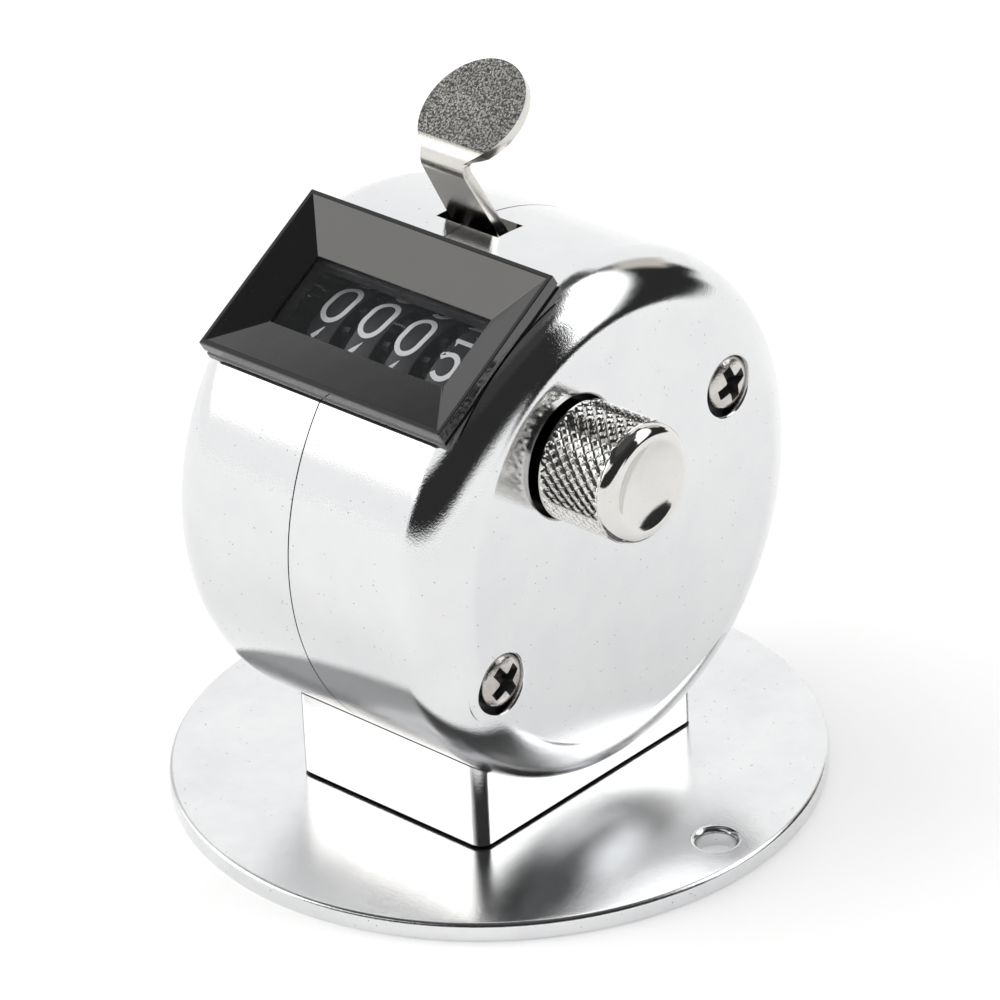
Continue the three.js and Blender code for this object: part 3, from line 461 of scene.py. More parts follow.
def mounting_block():
    """Block under the drum. The edge of its foot and the saddle that the drum sits in are painted dark:
    painted shade where the block meets the base and the drum.
    """
    low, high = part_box("mounting_block")
    outline = rounded_rectangle(high.x, high.y, 1.3 * MM, 8)
    solid = extruded(outline, low.z, low.z + 9.5 * MM, lambda a, b, c: (a, b, c))
    bevelled(solid, 0.2 * MM, 3, minimum=60)
    reach = 20 * MM
    radius = CASE_RADIUS + 0.15 * MM
    saddle = turned([(0, -reach), (radius, -reach), (radius, reach), (0, reach)], "X", CASE_AXIS, 256)
    mesh = carved(solid, ("DIFFERENCE", saddle))
    piece = add_piece("saddle_block", mesh, [BLOCK_CHROME, PAINTED_SHADE_DARK], "case", ["mounting_block"])
    # Painted shade: faces at the foot's edge and in the saddle against the drum take the near-black finish.
    foot_height, slack = 0.19 * MM, 0.02 * MM
    for face in piece.data.polygons:
        at_foot = face.center.z < low.z + foot_height
        in_saddle = math.hypot(face.center.y, face.center.z - CASE_AXIS.z) < radius + slack
        against_case = in_saddle and abs(face.normal.x) < 0.5
        face.material_index = 1 if at_foot or against_case else 0


# ---------- case ----------

def drum(half_width, radius, fillet, seam, side, segments, steps):
    """One half of a drum with a rounded end, from its end face to the seam."""
    face = side * half_width
    corner = arc(radius - fillet, half_width - fillet, fillet, fillet, 90, 0, steps)
    profile = [(0, face)] + [(r, side * x) for r, x in corner] + [(radius, seam), (0, seam)]
    return turned(profile, "X", CASE_AXIS, segments)


def case_surface(point):
    """How far a point is from the drum's outer surface, and the surface's normal there."""
    radial = Vector((0, point.y - CASE_AXIS.y, point.z - CASE_AXIS.z))
    along = abs(point.x) - (CASE_HALF_WIDTH - CASE_FILLET)
    out = radial.length - CASE_FACE_RADIUS
    side = math.copysign(1, point.x)
    normal = Vector((side * max(along, 0), 0, 0)) + radial.normalized() * max(out, 0)
    if along > 0 or out > 0:
        distance = normal.length - CASE_FILLET
    else:
        distance = max(along, out) - CASE_FILLET
    return distance, normal.normalized()


def tighter_corner(normal):
    """A drum normal moved so that the corner turns more sharply where it meets the flat end."""
    radial = Vector((0, normal.y, normal.z))
    if radial.length < 1e-6:
        return normal
    start, end, pull = 50, 90, 66
    turn = math.degrees(math.atan2(abs(normal.x), radial.length))
    share = max(0, (turn - start) / (end - start))
    moved = math.radians(turn - pull * share ** 2 * (1 - share))
    return radial.normalized() * math.cos(moved) + Vector((math.copysign(math.sin(moved), normal.x), 0, 0))


def true_normals(mesh):
    """Gives the drum's outer faces the normals of its true round, so that reflections run smoothly."""
    normals = []
    for face in mesh.polygons:
        for index in face.vertices:
            distance, normal = case_surface(mesh.vertices[index].co)
            on_drum = abs(distance) < 0.03 * MM and normal.dot(face.normal) > 0.985
            normals.append(tighter_corner(normal) if on_drum else Vector((0, 0, 0)))
    mesh.normals_split_custom_set(normals)


def case_shell(side):
    """One half of the drum with its cavity, bezel seat, window and lever slot, ready to be cut further."""
    seam = SEAM_X + side * SEAM_GAP / 2
    outer = drum(CASE_HALF_WIDTH, CASE_RADIUS, CASE_FILLET, seam, side, 240, 14)
    inner = drum(CASE_HALF_WIDTH - CASE_WALL, CASE_RADIUS - CASE_WALL, CASE_FILLET - CASE_WALL,
                 seam - side * 2 * MM, side, 120, 5)
    far = 40 * MM
    bezel_low, bezel_high = window_box("window_bezel")
    land = block((-far, -12 * MM, WINDOW_LAND), (far, 12 * MM, far), TO_WORLD)
    cavity = to_bmesh(carved(inner, ("DIFFERENCE", land)))
    margin = Vector((0.1, 0.15, 0)) * MM
    seat_low = Vector((bezel_low.x, bezel_low.y, bezel_low.z - 0.05 * MM)) - margin
    seat_high = Vector((bezel_high.x, bezel_high.y, far)) + margin
    seat = block(seat_low, seat_high, TO_WORLD)
    cut_x, cut_low, cut_high, cut_depth = 10.6 * MM, -4.4 * MM, 3.4 * MM, 18 * MM
    window = block((-cut_x, cut_low, cut_depth), (cut_x, cut_high, far), TO_WORLD)
    slot = block(SLOT_LOW, SLOT_HIGH)
    return outer, [("DIFFERENCE", cut) for cut in (cavity, seat, window, slot)]


def rod_x(radius, low, high, place, segments=48):
    return turned([(0, low), (radius, low), (radius, high), (0, high)], "X", place, segments)


SCREWS = ["case_screw_upper", "case_screw_lower"]


def paint_inside(mesh):
    """Faces inside the case are bare casting: all that is well below the outer surface."""
    for face in mesh.polygons:
        distance = case_surface(face.center)[0]
        place = TO_WINDOW @ face.center
        in_window = abs(place.x) < 11 * MM and abs(place.y) < 4.6 * MM and place.z > 18 * MM
        face.material_index = 1 if distance < -1.25 * MM or in_window else 0


def left_shell():
    outer, steps = case_shell(-1)
    posts = []
    for screw in SCREWS:
        place = middle(screw)
        posts.append(("UNION", rod_x(2.5 * MM, -CASE_HALF_WIDTH + 0.6 * MM, 13.2 * MM, place)))
        posts.append(("DIFFERENCE", rod_x(1.4 * MM, 4.5 * MM, 14 * MM, place)))
    mesh = carved(outer, *steps, *posts)
    piece = add_piece("case_left", mesh, [CHROME, CAST_GREY], "case", ["left_case_shell"],
                      weighted=False)
    paint_inside(piece.data)
    true_normals(piece.data)


def right_shell():
    outer, steps = case_shell(1)
    face = CASE_HALF_WIDTH
    cuts = []
    for screw in SCREWS:
        place = middle(screw)
        boss = to_bmesh(carved(rod_x(4 * MM, 13.4 * MM, face - 0.6 * MM, place),
                               ("INTERSECT", rod_x(CASE_RADIUS - 0.7 * MM, 0, face, CASE_AXIS, 120))))
        steps.append(("UNION", boss))
        seat = place + Vector((0, -0.36, -0.1)) * MM
        recess = turned(flared_hole(2.82 * MM, 0.22 * MM, 15.1 * MM, face), "X", seat, 64)
        cuts += [("DIFFERENCE", recess), ("DIFFERENCE", rod_x(1.4 * MM, 10 * MM, 20 * MM, place, 32))]
    knob_hole = turned(flared_hole(5.5 * MM, 0.36 * MM, 12 * MM, face), "X", NUMBER_AXIS, 128)
    mesh = carved(outer, *steps, *cuts, ("DIFFERENCE", knob_hole))
    piece = add_piece("case_right", mesh, [CHROME, CAST_GREY], "case", ["right_case_shell"],
                      weighted=False)
    paint_inside(piece.data)
    true_normals(piece.data)


def case_screw(node, cross_angle):
    """Pan-head screw with a cross recess, turned by an angle in degrees. The recess is painted dark: painted
    shade inside the cross.
    """
    low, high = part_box(node)
    place = middle(node)
    radius, top, dome_height = (high.y - low.y) / 2, high.x, 0.75 * MM
    seat = 15.2 * MM
    dome = [(radius * math.cos(t), top - dome_height + dome_height * math.sin(t))
            for t in [math.radians(a) for a in (0, 12, 24, 36, 48, 60, 72, 82)]]
    profile = [(0, low.x), (1.2 * MM, low.x), (1.2 * MM, seat), (radius, seat), *dome, (0, top)]
    head = turned(profile, "X", place, 64)
    cuts = []
    for turn in (0, 90):
        blade = bmesh.new()
        rings = []
        for x, half_length, half_width in ((top - 1.15 * MM, 0.9 * MM, 0.35 * MM),
                                           (top + 0.1 * MM, 2 * MM, 0.56 * MM)):
            rings.append([blade.verts.new((x, a * half_length, b * half_width))
                          for a, b in ((-1, -1), (1, -1), (1, 1), (-1, 1))])
        blade.faces.new(rings[0])
        blade.faces.new(rings[1])
        for i in range(4):
            j = (i + 1) % 4
            blade.faces.new([rings[0][i], rings[0][j], rings[1][j], rings[1][i]])
        bmesh.ops.recalc_face_normals(blade, faces=blade.faces)
        blade.transform(Matrix.Translation((0, place.y, place.z))
                        @ Matrix.Rotation(math.radians(cross_angle + turn), 4, "X"))
        cuts.append(("DIFFERENCE", blade))
    point = [(0, top - 1.5 * MM), (0.95 * MM, top + 0.1 * MM), (0, top + 0.1 * MM)]
    cuts.append(("DIFFERENCE", turned(point, "X", place, 32)))
    name = node.replace("case_screw", "cross_screw")
    piece = add_piece(name, carved(head, *cuts), [SCREW_NICKEL, PAINTED_SHADE_DARK], "case", [node])
    # Painted shade: faces inside the cross recess take the near-black finish.
    for face in piece.data.polygons:
        reach = min(radius, math.hypot(face.center.y - place.y, face.center.z - place.z))
        dome_x = top - dome_height * (1 - math.sqrt(1 - (reach / radius) ** 2))
        in_cross = seat + 0.1 * MM < face.center.x < dome_x - 0.08 * MM and reach < radius - 0.2 * MM
        face.material_index = 1 if in_cross else 0


# ---------- window ----------

def bezel():
    """Black frame: an outer wall with a groove, a thin rim, and four slopes down to the window."""
    low, high = window_box("window_bezel")
    half_x, half_v, rim = high.x, (high.y - low.y) / 2, high.z
    throat_x, throat_low, throat_high, throat_n = 10.1 * MM, -3.8 * MM, 3.5 * MM, 23.5 * MM
    groove = 0.22 * MM
    rim_width = 0.45 * MM
    rings = [(half_x, half_v, low.z), (half_x, half_v, low.z + 0.75 * MM),
             (half_x - groove, half_v - groove, low.z + 0.85 * MM),
             (half_x - groove, half_v - groove, low.z + 1.05 * MM), (half_x, half_v, low.z + 1.15 * MM),
             (half_x, half_v, rim), (half_x - rim_width, half_v - rim_width, rim)]
    bm = bmesh.new()
    loops = [[bm.verts.new((a * x, b * v, n)) for a, b in ((-1, -1), (1, -1), (1, 1), (-1, 1))]
             for x, v, n in rings]
    throat = [(-throat_x, throat_low), (throat_x, throat_low), (throat_x, throat_high),
              (-throat_x, throat_high)]
    for n in (throat_n, low.z):
        loops.append([bm.verts.new((x, v, n)) for x, v in throat])
    for first, second in zip(loops, loops[1:] + loops[:1]):
        for i in range(4):
            j = (i + 1) % 4
            bm.faces.new([first[i], first[j], second[j], second[i]])
    bmesh.ops.recalc_face_normals(bm, faces=bm.faces)
    bevelled(bm, 0.09 * MM, 5, minimum=12)
    lens_low, lens_high = window_box("window_lens")
    gap = Vector((0.15, 0.15, 0.1)) * MM
    pocket = block(lens_low - gap - Vector((0, 0, MM)), lens_high + gap)
    mesh = carved(bm, ("DIFFERENCE", pocket))
    mesh.transform(TO_WORLD)
    add_piece("window_frame", mesh, [BEZEL_BLACK], "case", ["window_bezel"])


# ---------- number wheels ----------

HALF_DIGIT_WIDTH = 1.11 * MM
HALF_DIGIT_HEIGHT = 2.12 * MM
STROKE = 0.5 * MM
# From the units up: the digit shown, its angle in degrees and its sideways shift in mm.
DIGITS_SHOWN = [(5, 4.9, -0.28), (0, 11.8, -0.46), (0, 14.0, -0.33), (0, 15.0, -0.18)]


def digit_strokes(digit):
    """Centre lines of a digit, each a list of points in a box 2 wide and 2 high around the origin."""
    if digit == 0:
        return [arc(0, 0.3, 1, 0.7, 0, 180, 16) + arc(0, -0.3, 1, 0.7, 180, 360, 16) + [(1, 0.3)]]
    if digit == 1:
        return [[(-0.45, 0.62), (0.12, 1), (0.12, -1)]]
    if digit == 2:
        return [arc(0, 0.45, 0.95, 0.55, 165, -35, 14) + [(-0.95, -1), (1, -1)]]
    if digit == 3:
        return [arc(-0.05, 0.5, 0.9, 0.5, 150, -80, 14), arc(-0.05, -0.47, 1, 0.53, 80, -150, 14)]
    if digit == 4:
        return [[(0.45, -1), (0.45, 1), (-1, -0.4), (1, -0.4)]]
    if digit == 5:
        return [[(0.9, 1), (-0.75, 1), (-0.85, 0.08)] + arc(-0.02, -0.37, 1, 0.6, 138, -140, 18)]
    if digit == 6:
        return [arc(0.15, 0.05, 1.12, 0.98, 62, 180, 10) + arc(0, -0.4, 0.98, 0.6, 180, 540, 24)]
    if digit == 7:
        return [[(-0.95, 1), (0.95, 1), (-0.25, -1)]]
    if digit == 8:
        return [arc(0, 0.5, 0.85, 0.5, 0, 360, 20), arc(0, -0.47, 1, 0.53, 0, 360, 20)]
    return [[(-a, -b) for a, b in stroke] for stroke in digit_strokes(6)]


def stroke_outline(points, half):
    """Both sides of a stroke of even width along its centre line, as two equal lists of points."""
    closed = (Vector(points[0]) - Vector(points[-1])).length < 1e-6
    line = [Vector(p) for p in points]
    left, right = [], []
    for i, here in enumerate(line):
        before = line[i - 1] if i > 0 else (line[-2] if closed else None)
        after = line[i + 1] if i + 1 < len(line) else (line[1] if closed else None)
        into = (here - before).normalized() if before is not None else (after - here).normalized()
        away = (after - here).normalized() if after is not None else into
        mean = (into + away).normalized()
        side = Vector((-mean.y, mean.x))
        reach = half / max(0.5, side.dot(Vector((-into.y, into.x))))
        left.append(here + side * reach)
        right.append(here - side * reach)
    return left, right


def wheel_digits(wheel_x, shown, shown_angle):
    """The ten printed digits of a wheel. The digit `shown` sits shown_angle up from the window's normal."""
    bm = bmesh.new()
    low_radius, high_radius = WHEEL_RADIUS - 0.03 * MM, WHEEL_RADIUS + 0.03 * MM

    def spot(point, angle, radius):
        turn = angle + point.y / WHEEL_RADIUS
        up, out = radius * math.sin(turn), radius * math.cos(turn)
        direction = TO_WORLD.to_3x3() @ Vector((0, up, out))
        return Vector((wheel_x + point.x, NUMBER_AXIS.y, NUMBER_AXIS.z)) + direction

    for digit in range(10):
        angle = shown_angle - (digit - shown) * TURN / 10
        for stroke in digit_strokes(digit):
            points = [(a * HALF_DIGIT_WIDTH, b * HALF_DIGIT_HEIGHT) for a, b in stroke]
            left, right = stroke_outline(points, STROKE / 2)
            rows = [[bm.verts.new(spot(p, angle, radius))
                     for p, radius in ((a, low_radius), (a, high_radius), (b, high_radius), (b, low_radius))]
                    for a, b in zip(left, right)]
            closed = (Vector(points[0]) - Vector(points[-1])).length < 1e-6
            if closed:
                for v in rows.pop():
                    bm.verts.remove(v)
            pairs = list(zip(rows, rows[1:]))
            if closed:
                pairs.append((rows[-1], rows[0]))
            else:
                bm.faces.new(rows[0])
                bm.faces.new(rows[-1])
            for first, second in pairs:
                for i in range(4):
                    j = (i + 1) % 4
                    bm.faces.new([first[i], first[j], second[j], second[i]])
    bmesh.ops.recalc_face_normals(bm, faces=bm.faces)
    return bm


def toothed_rim(centre_x, low, high, place):
    """The side gear of a wheel: twenty short teeth."""
    outline = []
    count, tip, root = 20, 8.0 * MM, 6.9 * MM
    for tooth in range(count):
        angle = math.radians(-60) + TURN * tooth / count
        for radius, width in ((root, -1.15 * MM), (tip, -0.5 * MM), (tip, 0.5 * MM), (root, 1.15 * MM)):
            turn = angle + math.asin(width / 2 / radius)
            outline.append((radius * math.cos(turn), radius * math.sin(turn)))
    return extruded(outline, centre_x + low, centre_x + high, lambda a, b, c: (c, place.y + a, place.z + b))


def number_wheel(position, name):
    centre = FIRST_WHEEL_X - position * WHEEL_PITCH
    low, high = centre + WHEEL_RIM_LOW, centre + WHEEL_RIM_HIGH
    bore, round_off = 1.56 * MM, 0.12 * MM
    corner_low = arc(WHEEL_RADIUS - round_off, low + round_off, round_off, round_off, -90, 0, 3)
    corner_high = arc(WHEEL_RADIUS - round_off, high - round_off, round_off, round_off, 0, 90, 3)
    dish = 0.35 * MM
    profile = [(bore, low), (3 * MM, low), (3.4 * MM, low + dish), (6.6 * MM, low + dish), (7 * MM, low),
               *corner_low, *corner_high, (bore, high)]
    parts = [turned(profile, "X", NUMBER_AXIS, 160)]
    disc = 6.7 * MM
    if position < 3:
        parts.append(turned([(bore, low - 0.7 * MM), (disc, low - 0.7 * MM), (disc, low), (bore, low)], "X",
                            NUMBER_AXIS, 96))
    if position > 0:
        parts.append(toothed_rim(centre, WHEEL_RIM_HIGH, WHEEL_RIM_HIGH + 0.8 * MM, NUMBER_AXIS))
    else:
        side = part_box("units_wheel")[1].x
        parts.append(turned([(bore, high), (disc, high), (disc, side), (bore, side)], "X", NUMBER_AXIS, 96))
    add_piece(f"{name}_drum", joined(*parts), [WHEEL_BLACK], name, [f"{name}_wheel"],
              weighted=False)
    shown, degrees, shift = DIGITS_SHOWN[position]
    digits = wheel_digits(centre + shift * MM, shown, math.radians(degrees))
    add_piece(f"{name}_digits", digits, [DIGIT_WHITE], name, weighted=False)


# ---------- reset knob ----------

def knob_washer():
    # A black washer inside the case behind the knob hole. Its black is also painted shade filling the gap
    # round the knob.
    low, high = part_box("knob_washer")
    radius, edge, bore = radius_of("knob_washer"), 0.22 * MM, 1.7 * MM
    profile = [(bore, low.x), *arc(radius - edge, low.x + edge, edge, edge, -90, 0, 4),
               *arc(radius - edge, high.x - edge, edge, edge, 0, 90, 4), (bore, high.x)]
    add_piece("dark_washer", turned(profile, "X", NUMBER_AXIS, 96), [WASHER_SHADE_BLACK], "case",
              ["knob_washer"])


def reset_knob():
    """Turned knob: plain neck, cone, diamond-knurled barrel, polished round shoulder and dished end."""
    low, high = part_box("reset_knob")
    radius = radius_of("reset_knob")
    diamonds, cell = 30, 8
    columns = diamonds * cell
    step = TURN * radius / columns
    knurl_low, knurl_high = 17.5 * MM, 24.05 * MM
    rows = int((knurl_high - knurl_low) / step)
    depth, groove = 0.22 * MM, 1.9

    def tooth(count):
        near = count % cell
        return min(1, min(near, cell - near) / groove)

    bm = bmesh.new()

    def ring(x, reach):
        """Vertices round the knob's axis at x. reach(i) is the radius of the i-th."""
        vertices = []
        for i in range(columns):
            angle = TURN * i / columns
            across, up = reach(i) * math.cos(angle), reach(i) * math.sin(angle)
            vertices.append(bm.verts.new((x, NUMBER_AXIS.y + across, NUMBER_AXIS.z + up)))
        return vertices

    def knurled(row):
        fade = min(1, row / 4, (rows - row) / 3)
        return lambda i: radius - depth * (1 - min(tooth(i + row), tooth(i - row + cell * rows))) * fade

    bore, bore_end, neck, neck_x = 1.53 * MM, 21.5 * MM, 4.75 * MM, 16.8 * MM
    rim, rim_x, shoulder_x = 4.15 * MM, high.x, 24.1 * MM
    collar = [(bore, low.x), (neck - 0.2 * MM, low.x), (neck, low.x + 0.2 * MM), (neck, neck_x - 0.05 * MM),
              (neck + 0.04 * MM, neck_x + 0.03 * MM), (radius - 0.06 * MM, knurl_low - 0.1 * MM),
              (radius, knurl_low - 0.03 * MM)]
    shoulder = arc(rim, shoulder_x, radius - 0.04 * MM - rim, rim_x - shoulder_x, 0, 90, 12)
    dish_radius, dish_edge = 8.7 * MM, 4.0 * MM
    dish_x = rim_x - 0.05 * MM + math.sqrt(dish_radius ** 2 - dish_edge ** 2)
    dish = []
    for share in range(12, 0, -1):
        reach = dish_edge * share / 12
        dish.append((reach, dish_x - math.sqrt(dish_radius ** 2 - reach ** 2)))
    loops = [ring(x, lambda i, reach=reach: reach) for reach, x in collar]
    barrel_start = len(loops)
    for row in range(rows + 1):
        loops.append(ring(knurl_low + row * (knurl_high - knurl_low) / rows, knurled(row)))
    barrel_end = len(loops) - 1
    for reach, x in shoulder + dish:
        loops.append(ring(x, lambda i, reach=reach: reach))
    tip = bm.verts.new((dish_x - dish_radius, NUMBER_AXIS.y, NUMBER_AXIS.z))
    inner = ring(bore_end, lambda i: bore)
    for number, (first, second) in enumerate(zip(loops, loops[1:])):
        row = number - barrel_start
        for i in range(columns):
            j = (i + 1) % columns
            corners = [first[i], first[j], second[j], second[i]]
            if not barrel_start <= number < barrel_end:
                bm.faces.new(corners)
            elif (i - row) % cell < cell / 2:
                bm.faces.new([corners[0], corners[1], corners[2]])
                bm.faces.new([corners[0], corners[2], corners[3]])
            else:
                bm.faces.new([corners[0], corners[1], corners[3]])
                bm.faces.new([corners[1], corners[2], corners[3]])
    for i in range(columns):
        j = (i + 1) % columns
        bm.faces.new([loops[-1][i], loops[-1][j], tip])
        bm.faces.new([loops[0][i], inner[i], inner[j], loops[0][j]])
    bm.faces.new(inner)
    bmesh.ops.recalc_face_normals(bm, faces=bm.faces)
    add_piece("knurled_knob", bm, [KNOB_NICKEL], "reset_shaft", ["reset_knob"], limit=24,
              weighted=False)


# ---------- thumb lever ----------

ARM_LEAN = math.radians(29)
PAD_TILT = math.radians(35)
SHEET = 1 * MM
BEND_RADIUS = 2.2 * MM
LEVER_X = -0.85 * MM
PAD_SHIFT = 0.32 * MM
PAD_CENTRE = Vector((0.91, 64.64)) * MM
PAD_HALF_WIDTH = 5.0 * MM
PAD_HALF_LENGTH = 5.36 * MM
SLOT_POINT = Vector((0.55, 54.2)) * MM
ARM_BOTTOM_Z = 49.7 * MM
ARM_HALF_WIDTH = 2.9 * MM
ARM_TAPER = 0.42 * MM
GRAIN_REACH = 3.3 * MM


def lever_path():
    """The lever's front and top line in the Y-Z plane: its straight arm, its bend and its pad."""
    arm_up = Vector((-math.sin(ARM_LEAN), math.cos(ARM_LEAN)))
    pad_up = Vector((math.cos(PAD_TILT), math.sin(PAD_TILT)))
    rear = Vector((math.cos(ARM_LEAN), math.sin(ARM_LEAN)))
    across = SLOT_POINT - PAD_CENTRE
    cross = pad_up.x * arm_up.y - pad_up.y * arm_up.x
    corner = PAD_CENTRE + pad_up * ((across.x * arm_up.y - across.y * arm_up.x) / cross)
    turn = math.pi / 2 + ARM_LEAN - PAD_TILT
    tangent = BEND_RADIUS * math.tan(turn / 2)
    bottom = SLOT_POINT + arm_up * ((ARM_BOTTOM_Z - SLOT_POINT.y) / arm_up.y)
    bend_start = corner - arm_up * tangent
    centre = bend_start + rear * BEND_RADIUS
    return bottom, arm_up, rear, bend_start, centre, turn, corner + pad_up * tangent, pad_up


def lever_mapping():
    """A function from a place on the flat strip (across, along, depth below its face) to a point."""
    bottom, arm_up, rear, bend_start, centre, turn, pad_start, pad_up = lever_path()
    arm_length = (bend_start - bottom).length
    bend_length = BEND_RADIUS * turn
    under = Vector((math.sin(PAD_TILT), -math.cos(PAD_TILT)))

    def spot(across, along, depth):
        if along < arm_length:
            flat = bottom + arm_up * along + rear * depth
        elif along < arm_length + bend_length:
            angle = (along - arm_length) / BEND_RADIUS
            out = Matrix.Rotation(-angle, 2) @ Vector((-math.cos(ARM_LEAN), -math.sin(ARM_LEAN)))
            flat = centre + out * (BEND_RADIUS - depth)
        else:
            flat = pad_start + pad_up * (along - arm_length - bend_length) + under * depth
        return Vector((LEVER_X + across, flat.x, flat.y))

    pad_along = arm_length + bend_length + (PAD_CENTRE - pad_start).length
    return spot, arm_length, bend_length, pad_along


def lever_outline(arm_length, pad_along):
    """Outline of the flat strip: an arm that tapers to a neck and flares into an oval pad."""
    def half_width(side, along):
        share = min(1, along / arm_length)
        arm = ARM_HALF_WIDTH - ARM_TAPER * share ** 1.5
        wide = PAD_HALF_WIDTH * math.sqrt(max(0, 1 - ((along - pad_along) / PAD_HALF_LENGTH) ** 2))
        wide += side * PAD_SHIFT
        soft = 0.3 * MM
        return max(arm, wide) + soft * math.exp(-abs(arm - wide) / soft) * 0.55

    blend_end = pad_along - PAD_HALF_LENGTH * math.sin(math.radians(40))
    count = 80
    ends = range(-38, 90, 4)
    sides = {}
    for side in (1, -1):
        places = [blend_end * i / count for i in range(count + 1)]
        edge = [(side * half_width(side, along), along) for along in places]
        edge += [(side * PAD_HALF_WIDTH * math.cos(math.radians(a)) + PAD_SHIFT,
                  pad_along + PAD_HALF_LENGTH * math.sin(math.radians(a))) for a in ends]
        sides[side] = edge
    return sides[1] + [(PAD_SHIFT, pad_along + PAD_HALF_LENGTH)] + sides[-1][::-1]


def thumb_lever():
    """Strip bent along the lever's path, with two ears round its shaft and a grained top on its pad."""
    spot, arm_length, bend_length, pad_along = lever_mapping()
    bm = bmesh.new()
    bm.faces.new([bm.verts.new((a, b, 0)) for a, b in lever_outline(arm_length, pad_along)])
    cuts = 16
    for i in range(cuts + 1):
        along = arm_length + bend_length * i / cuts
        geometry = bm.verts[:] + bm.edges[:] + bm.faces[:]
        bmesh.ops.bisect_plane(bm, geom=geometry, plane_co=(0, along, 0), plane_no=(0, 1, 0))
    raised = bmesh.ops.extrude_face_region(bm, geom=bm.faces[:])
    other_side = [item for item in raised["geom"] if isinstance(item, bmesh.types.BMVert)]
    bmesh.ops.translate(bm, vec=(0, 0, SHEET), verts=other_side)
    bmesh.ops.recalc_face_normals(bm, faces=bm.faces)
    bevelled(bm, 0.17 * MM, 3, minimum=60)
    for v in bm.verts:
        v.co = spot(v.co.x, v.co.y, v.co.z)
    bmesh.ops.recalc_face_normals(bm, faces=bm.faces)
    ears = []
    for low in (LEVER_X - 2.55 * MM, LEVER_X + 1.75 * MM):
        hub = arc(LEVER_AXIS.y, LEVER_AXIS.z, 1.4 * MM, 1.4 * MM, 95, 275, 14)
        outline = hub + [(LEVER_AXIS.y + 7 * MM, 49.9 * MM), (LEVER_AXIS.y + 5.4 * MM, 52.2 * MM)]
        ears.append(extruded(outline, low, low + 0.8 * MM, lambda a, b, c: (c, a, b)))
    finishes = [LEVER_NICKEL, PAD_GRAIN]
    piece = add_piece("bent_lever", joined(bm, *ears), finishes, "lever", ["thumb_lever"], limit=40)
    pad_normal = Vector((0, -math.sin(PAD_TILT), math.cos(PAD_TILT)))
    lowest = PAD_CENTRE.y - GRAIN_REACH * math.sin(PAD_TILT)
    for face in piece.data.polygons:
        on_pad = face.normal.dot(pad_normal) > 0.999 and face.center.z > lowest
        face.material_index = 1 if on_pad else 0


# ---------- studio ----------

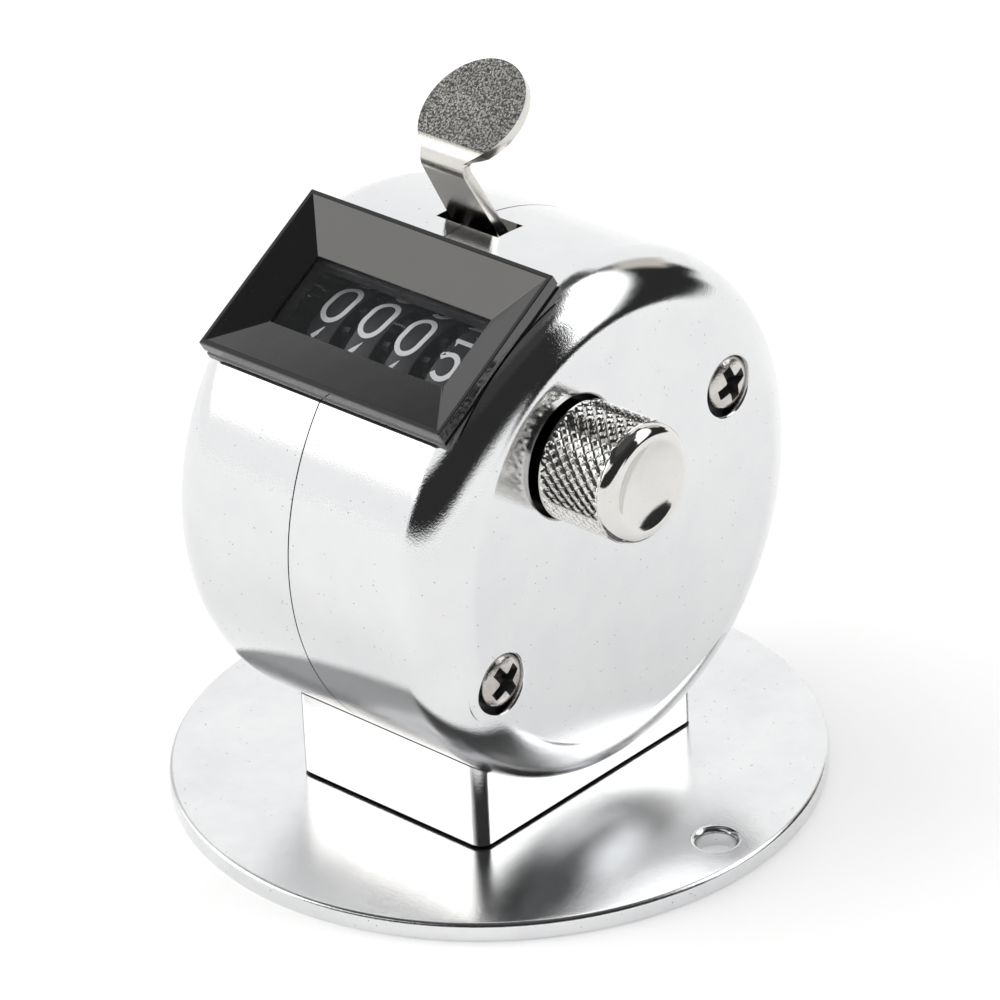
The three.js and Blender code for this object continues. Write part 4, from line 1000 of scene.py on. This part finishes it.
def studio_light():
    """A bright room with a dark side to the front and right, a dark ceiling and two softboxes.

    Azimuth runs in degrees from -Y towards +X, and elevation from the horizon up."""
    world = bpy.data.worlds.new("studio")
    bpy.context.scene.world = world
    world.use_nodes = True
    graph = Graph(world.node_tree)
    direction = graph.node("ShaderNodeTexCoord").outputs["Generated"]
    axes = graph.node("ShaderNodeSeparateXYZ", inputs={"Vector": direction}).outputs
    forward = graph.math("MULTIPLY", axes["Y"], -1.0)
    azimuth = graph.math("DEGREES", graph.math("ARCTAN2", axes["X"], forward))
    azimuth = graph.math("WRAP", azimuth, 210.0, -150.0)
    elevation = graph.math("DEGREES", graph.math("ARCSINE", axes["Z"]))

    def line(value, start, slope, origin):
        """start + slope * (value - origin)"""
        return graph.math("MULTIPLY_ADD", graph.math("SUBTRACT", value, origin), slope, start)

    def above(value, edge, soft):
        return graph.remap(graph.math("SUBTRACT", value, edge), -soft, soft, smooth=True)

    def between(value, low, high, soft):
        return graph.math("MULTIPLY", above(value, low, soft), above(high, value, soft))

    def panel(azimuth_low, azimuth_high, low, high, soft=1.5):
        """Share of a panel between two azimuths and two elevations, with soft edges."""
        return graph.math("MULTIPLY", between(azimuth, azimuth_low, azimuth_high, soft),
                          between(elevation, low, high, soft))

    def paint(share, grey, warmth=0.0):
        """Lays a panel of grey over the light painted so far."""
        nonlocal light
        light = graph.blend(share, light, rgb(grey, grey * (1 - 0.35 * warmth), grey * (1 - warmth)))

    light = rgb(1.12, 1.12, 1.12)
    # Softbox at the front left, and a greyer wall beside it.
    paint(panel(-92.0, -26.0, 15.0, 46.0, 2.5), 1.95, 0.04)
    paint(panel(-118.0, -92.0, 3.0, 40.0, 4.0), 0.72)
    # Dark frame at the rear right, with a warm patch and a bright gap at its far end.
    paint(panel(100.0, 188.0, 0.0, 63.0), 0.03)
    paint(panel(171.5, 188.0, 17.5, 40.0, 1.0), 0.68, 0.14)
    paint(panel(170.0, 189.0, -6.0, 6.0, 1.0), 1.1)
    paint(panel(181.0, 189.0, -6.0, 17.5, 1.0), 1.1)
    # Softbox inside that frame. Its first and lower edges slant.
    side_slant = graph.math("MAXIMUM", 0.0, line(elevation, 0.0, 2.2, 50.0))
    lower_slant = graph.math("MAXIMUM", 0.0, line(azimuth, 0.0, 0.64, 128.0))
    softbox_start = graph.math("ADD", 118.0, side_slant)
    softbox_bottom = graph.math("ADD", 13.0, lower_slant)
    paint(panel(softbox_start, 182.5, softbox_bottom, 61.5, 1.0), 2.2)
    # Dark side of the room. Its first edge leans and then bends away.
    bend = graph.math("MAXIMUM", 0.0, graph.math("SUBTRACT", elevation, 25.0))
    dark_start = graph.math("ADD", line(elevation, -30.0, 0.3, 0.0), graph.math("MULTIPLY", bend, 1.8))
    paint(panel(dark_start, 118.0, line(azimuth, 3.0, 0.07, -25.0), 100.0), 0.032)
    # High panels at the front and the left, the ceiling, and a dark strip at the rear.
    paint(panel(-74.0, 119.0, 46.0, 100.0, 2.0), 0.05)
    paint(panel(-132.0, -106.0, 43.0, 64.0, 2.0), 0.18)
    paint(panel(-106.0, -74.0, 43.0, 64.0, 2.0), 0.5)
    paint(panel(-400.0, 400.0, 63.0, 100.0, 2.0), 0.09)
    paint(panel(187.0, 232.0, 47.0, 64.0, 1.5), 0.09)
    background = graph.node("ShaderNodeBackground", inputs={"Color": light, "Strength": 1.0})
    out = graph.node("ShaderNodeOutputWorld")
    graph.tree.links.new(background.outputs["Background"], out.inputs["Surface"])

    key = bpy.data.lights.new("key", "SUN")
    key.energy = 1.15
    key.angle = math.radians(60)
    lamp = bpy.data.objects.new("key", key)
    lamp.visible_glossy = False
    lamp.rotation_euler = (math.radians(30), 0, math.radians(-35))
    bpy.context.scene.collection.objects.link(lamp)


def floor():
    bm = bmesh.new()
    bmesh.ops.create_grid(bm, x_segments=8, y_segments=8, size=6)
    mesh = as_mesh(bm, "floor")
    mesh.transform(Matrix.Translation((0, 0, -0.01 * MM)))
    material = surface("pale floor", rgb(0.93, 0.93, 0.93), rgb(0.92, 0.92, 0.92), 0.7, 0.05, 2 * MM,
                       0.01 * MM, metallic=0.0, glow=0.3)
    mesh.materials.append(material)
    ground = bpy.data.objects.new("floor", mesh)
    bpy.context.scene.collection.objects.link(ground)


def camera():
    """Camera above the front right, with a long lens."""
    azimuth, elevation, roll = math.radians(43.25), math.radians(28.53), math.radians(-2.60)
    back = Vector((math.sin(azimuth) * math.cos(elevation), -math.cos(azimuth) * math.cos(elevation),
                   math.sin(elevation)))
    right = Vector((math.cos(azimuth), math.sin(azimuth), 0))
    up = back.cross(right)
    turned_right = right * math.cos(roll) + up * math.sin(roll)
    turned_up = up * math.cos(roll) - right * math.sin(roll)
    data = bpy.data.cameras.new("camera")
    data.sensor_width = 36
    data.lens = 199.7
    data.clip_start, data.clip_end = 0.01, 20
    view = bpy.data.objects.new("camera", data)
    place = Vector((297.08, -314.12, 262.12)) * MM
    turn = Matrix((turned_right, turned_up, back)).transposed().to_4x4()
    view.matrix_world = Matrix.Translation(place) @ turn
    bpy.context.scene.collection.objects.link(view)
    bpy.context.scene.camera = view


camera()
studio_light()
floor()
paint_cad_nodes()
base_plate()
mounting_block()
left_shell()
right_shell()
case_screw("case_screw_upper", 20)
case_screw("case_screw_lower", 35)
bezel()
for wheel_position, wheel_name in enumerate(WHEELS):
    number_wheel(wheel_position, wheel_name)
knob_washer()
reset_knob()
thumb_lever()
bpy.context.scene.view_settings.view_transform = "Standard"
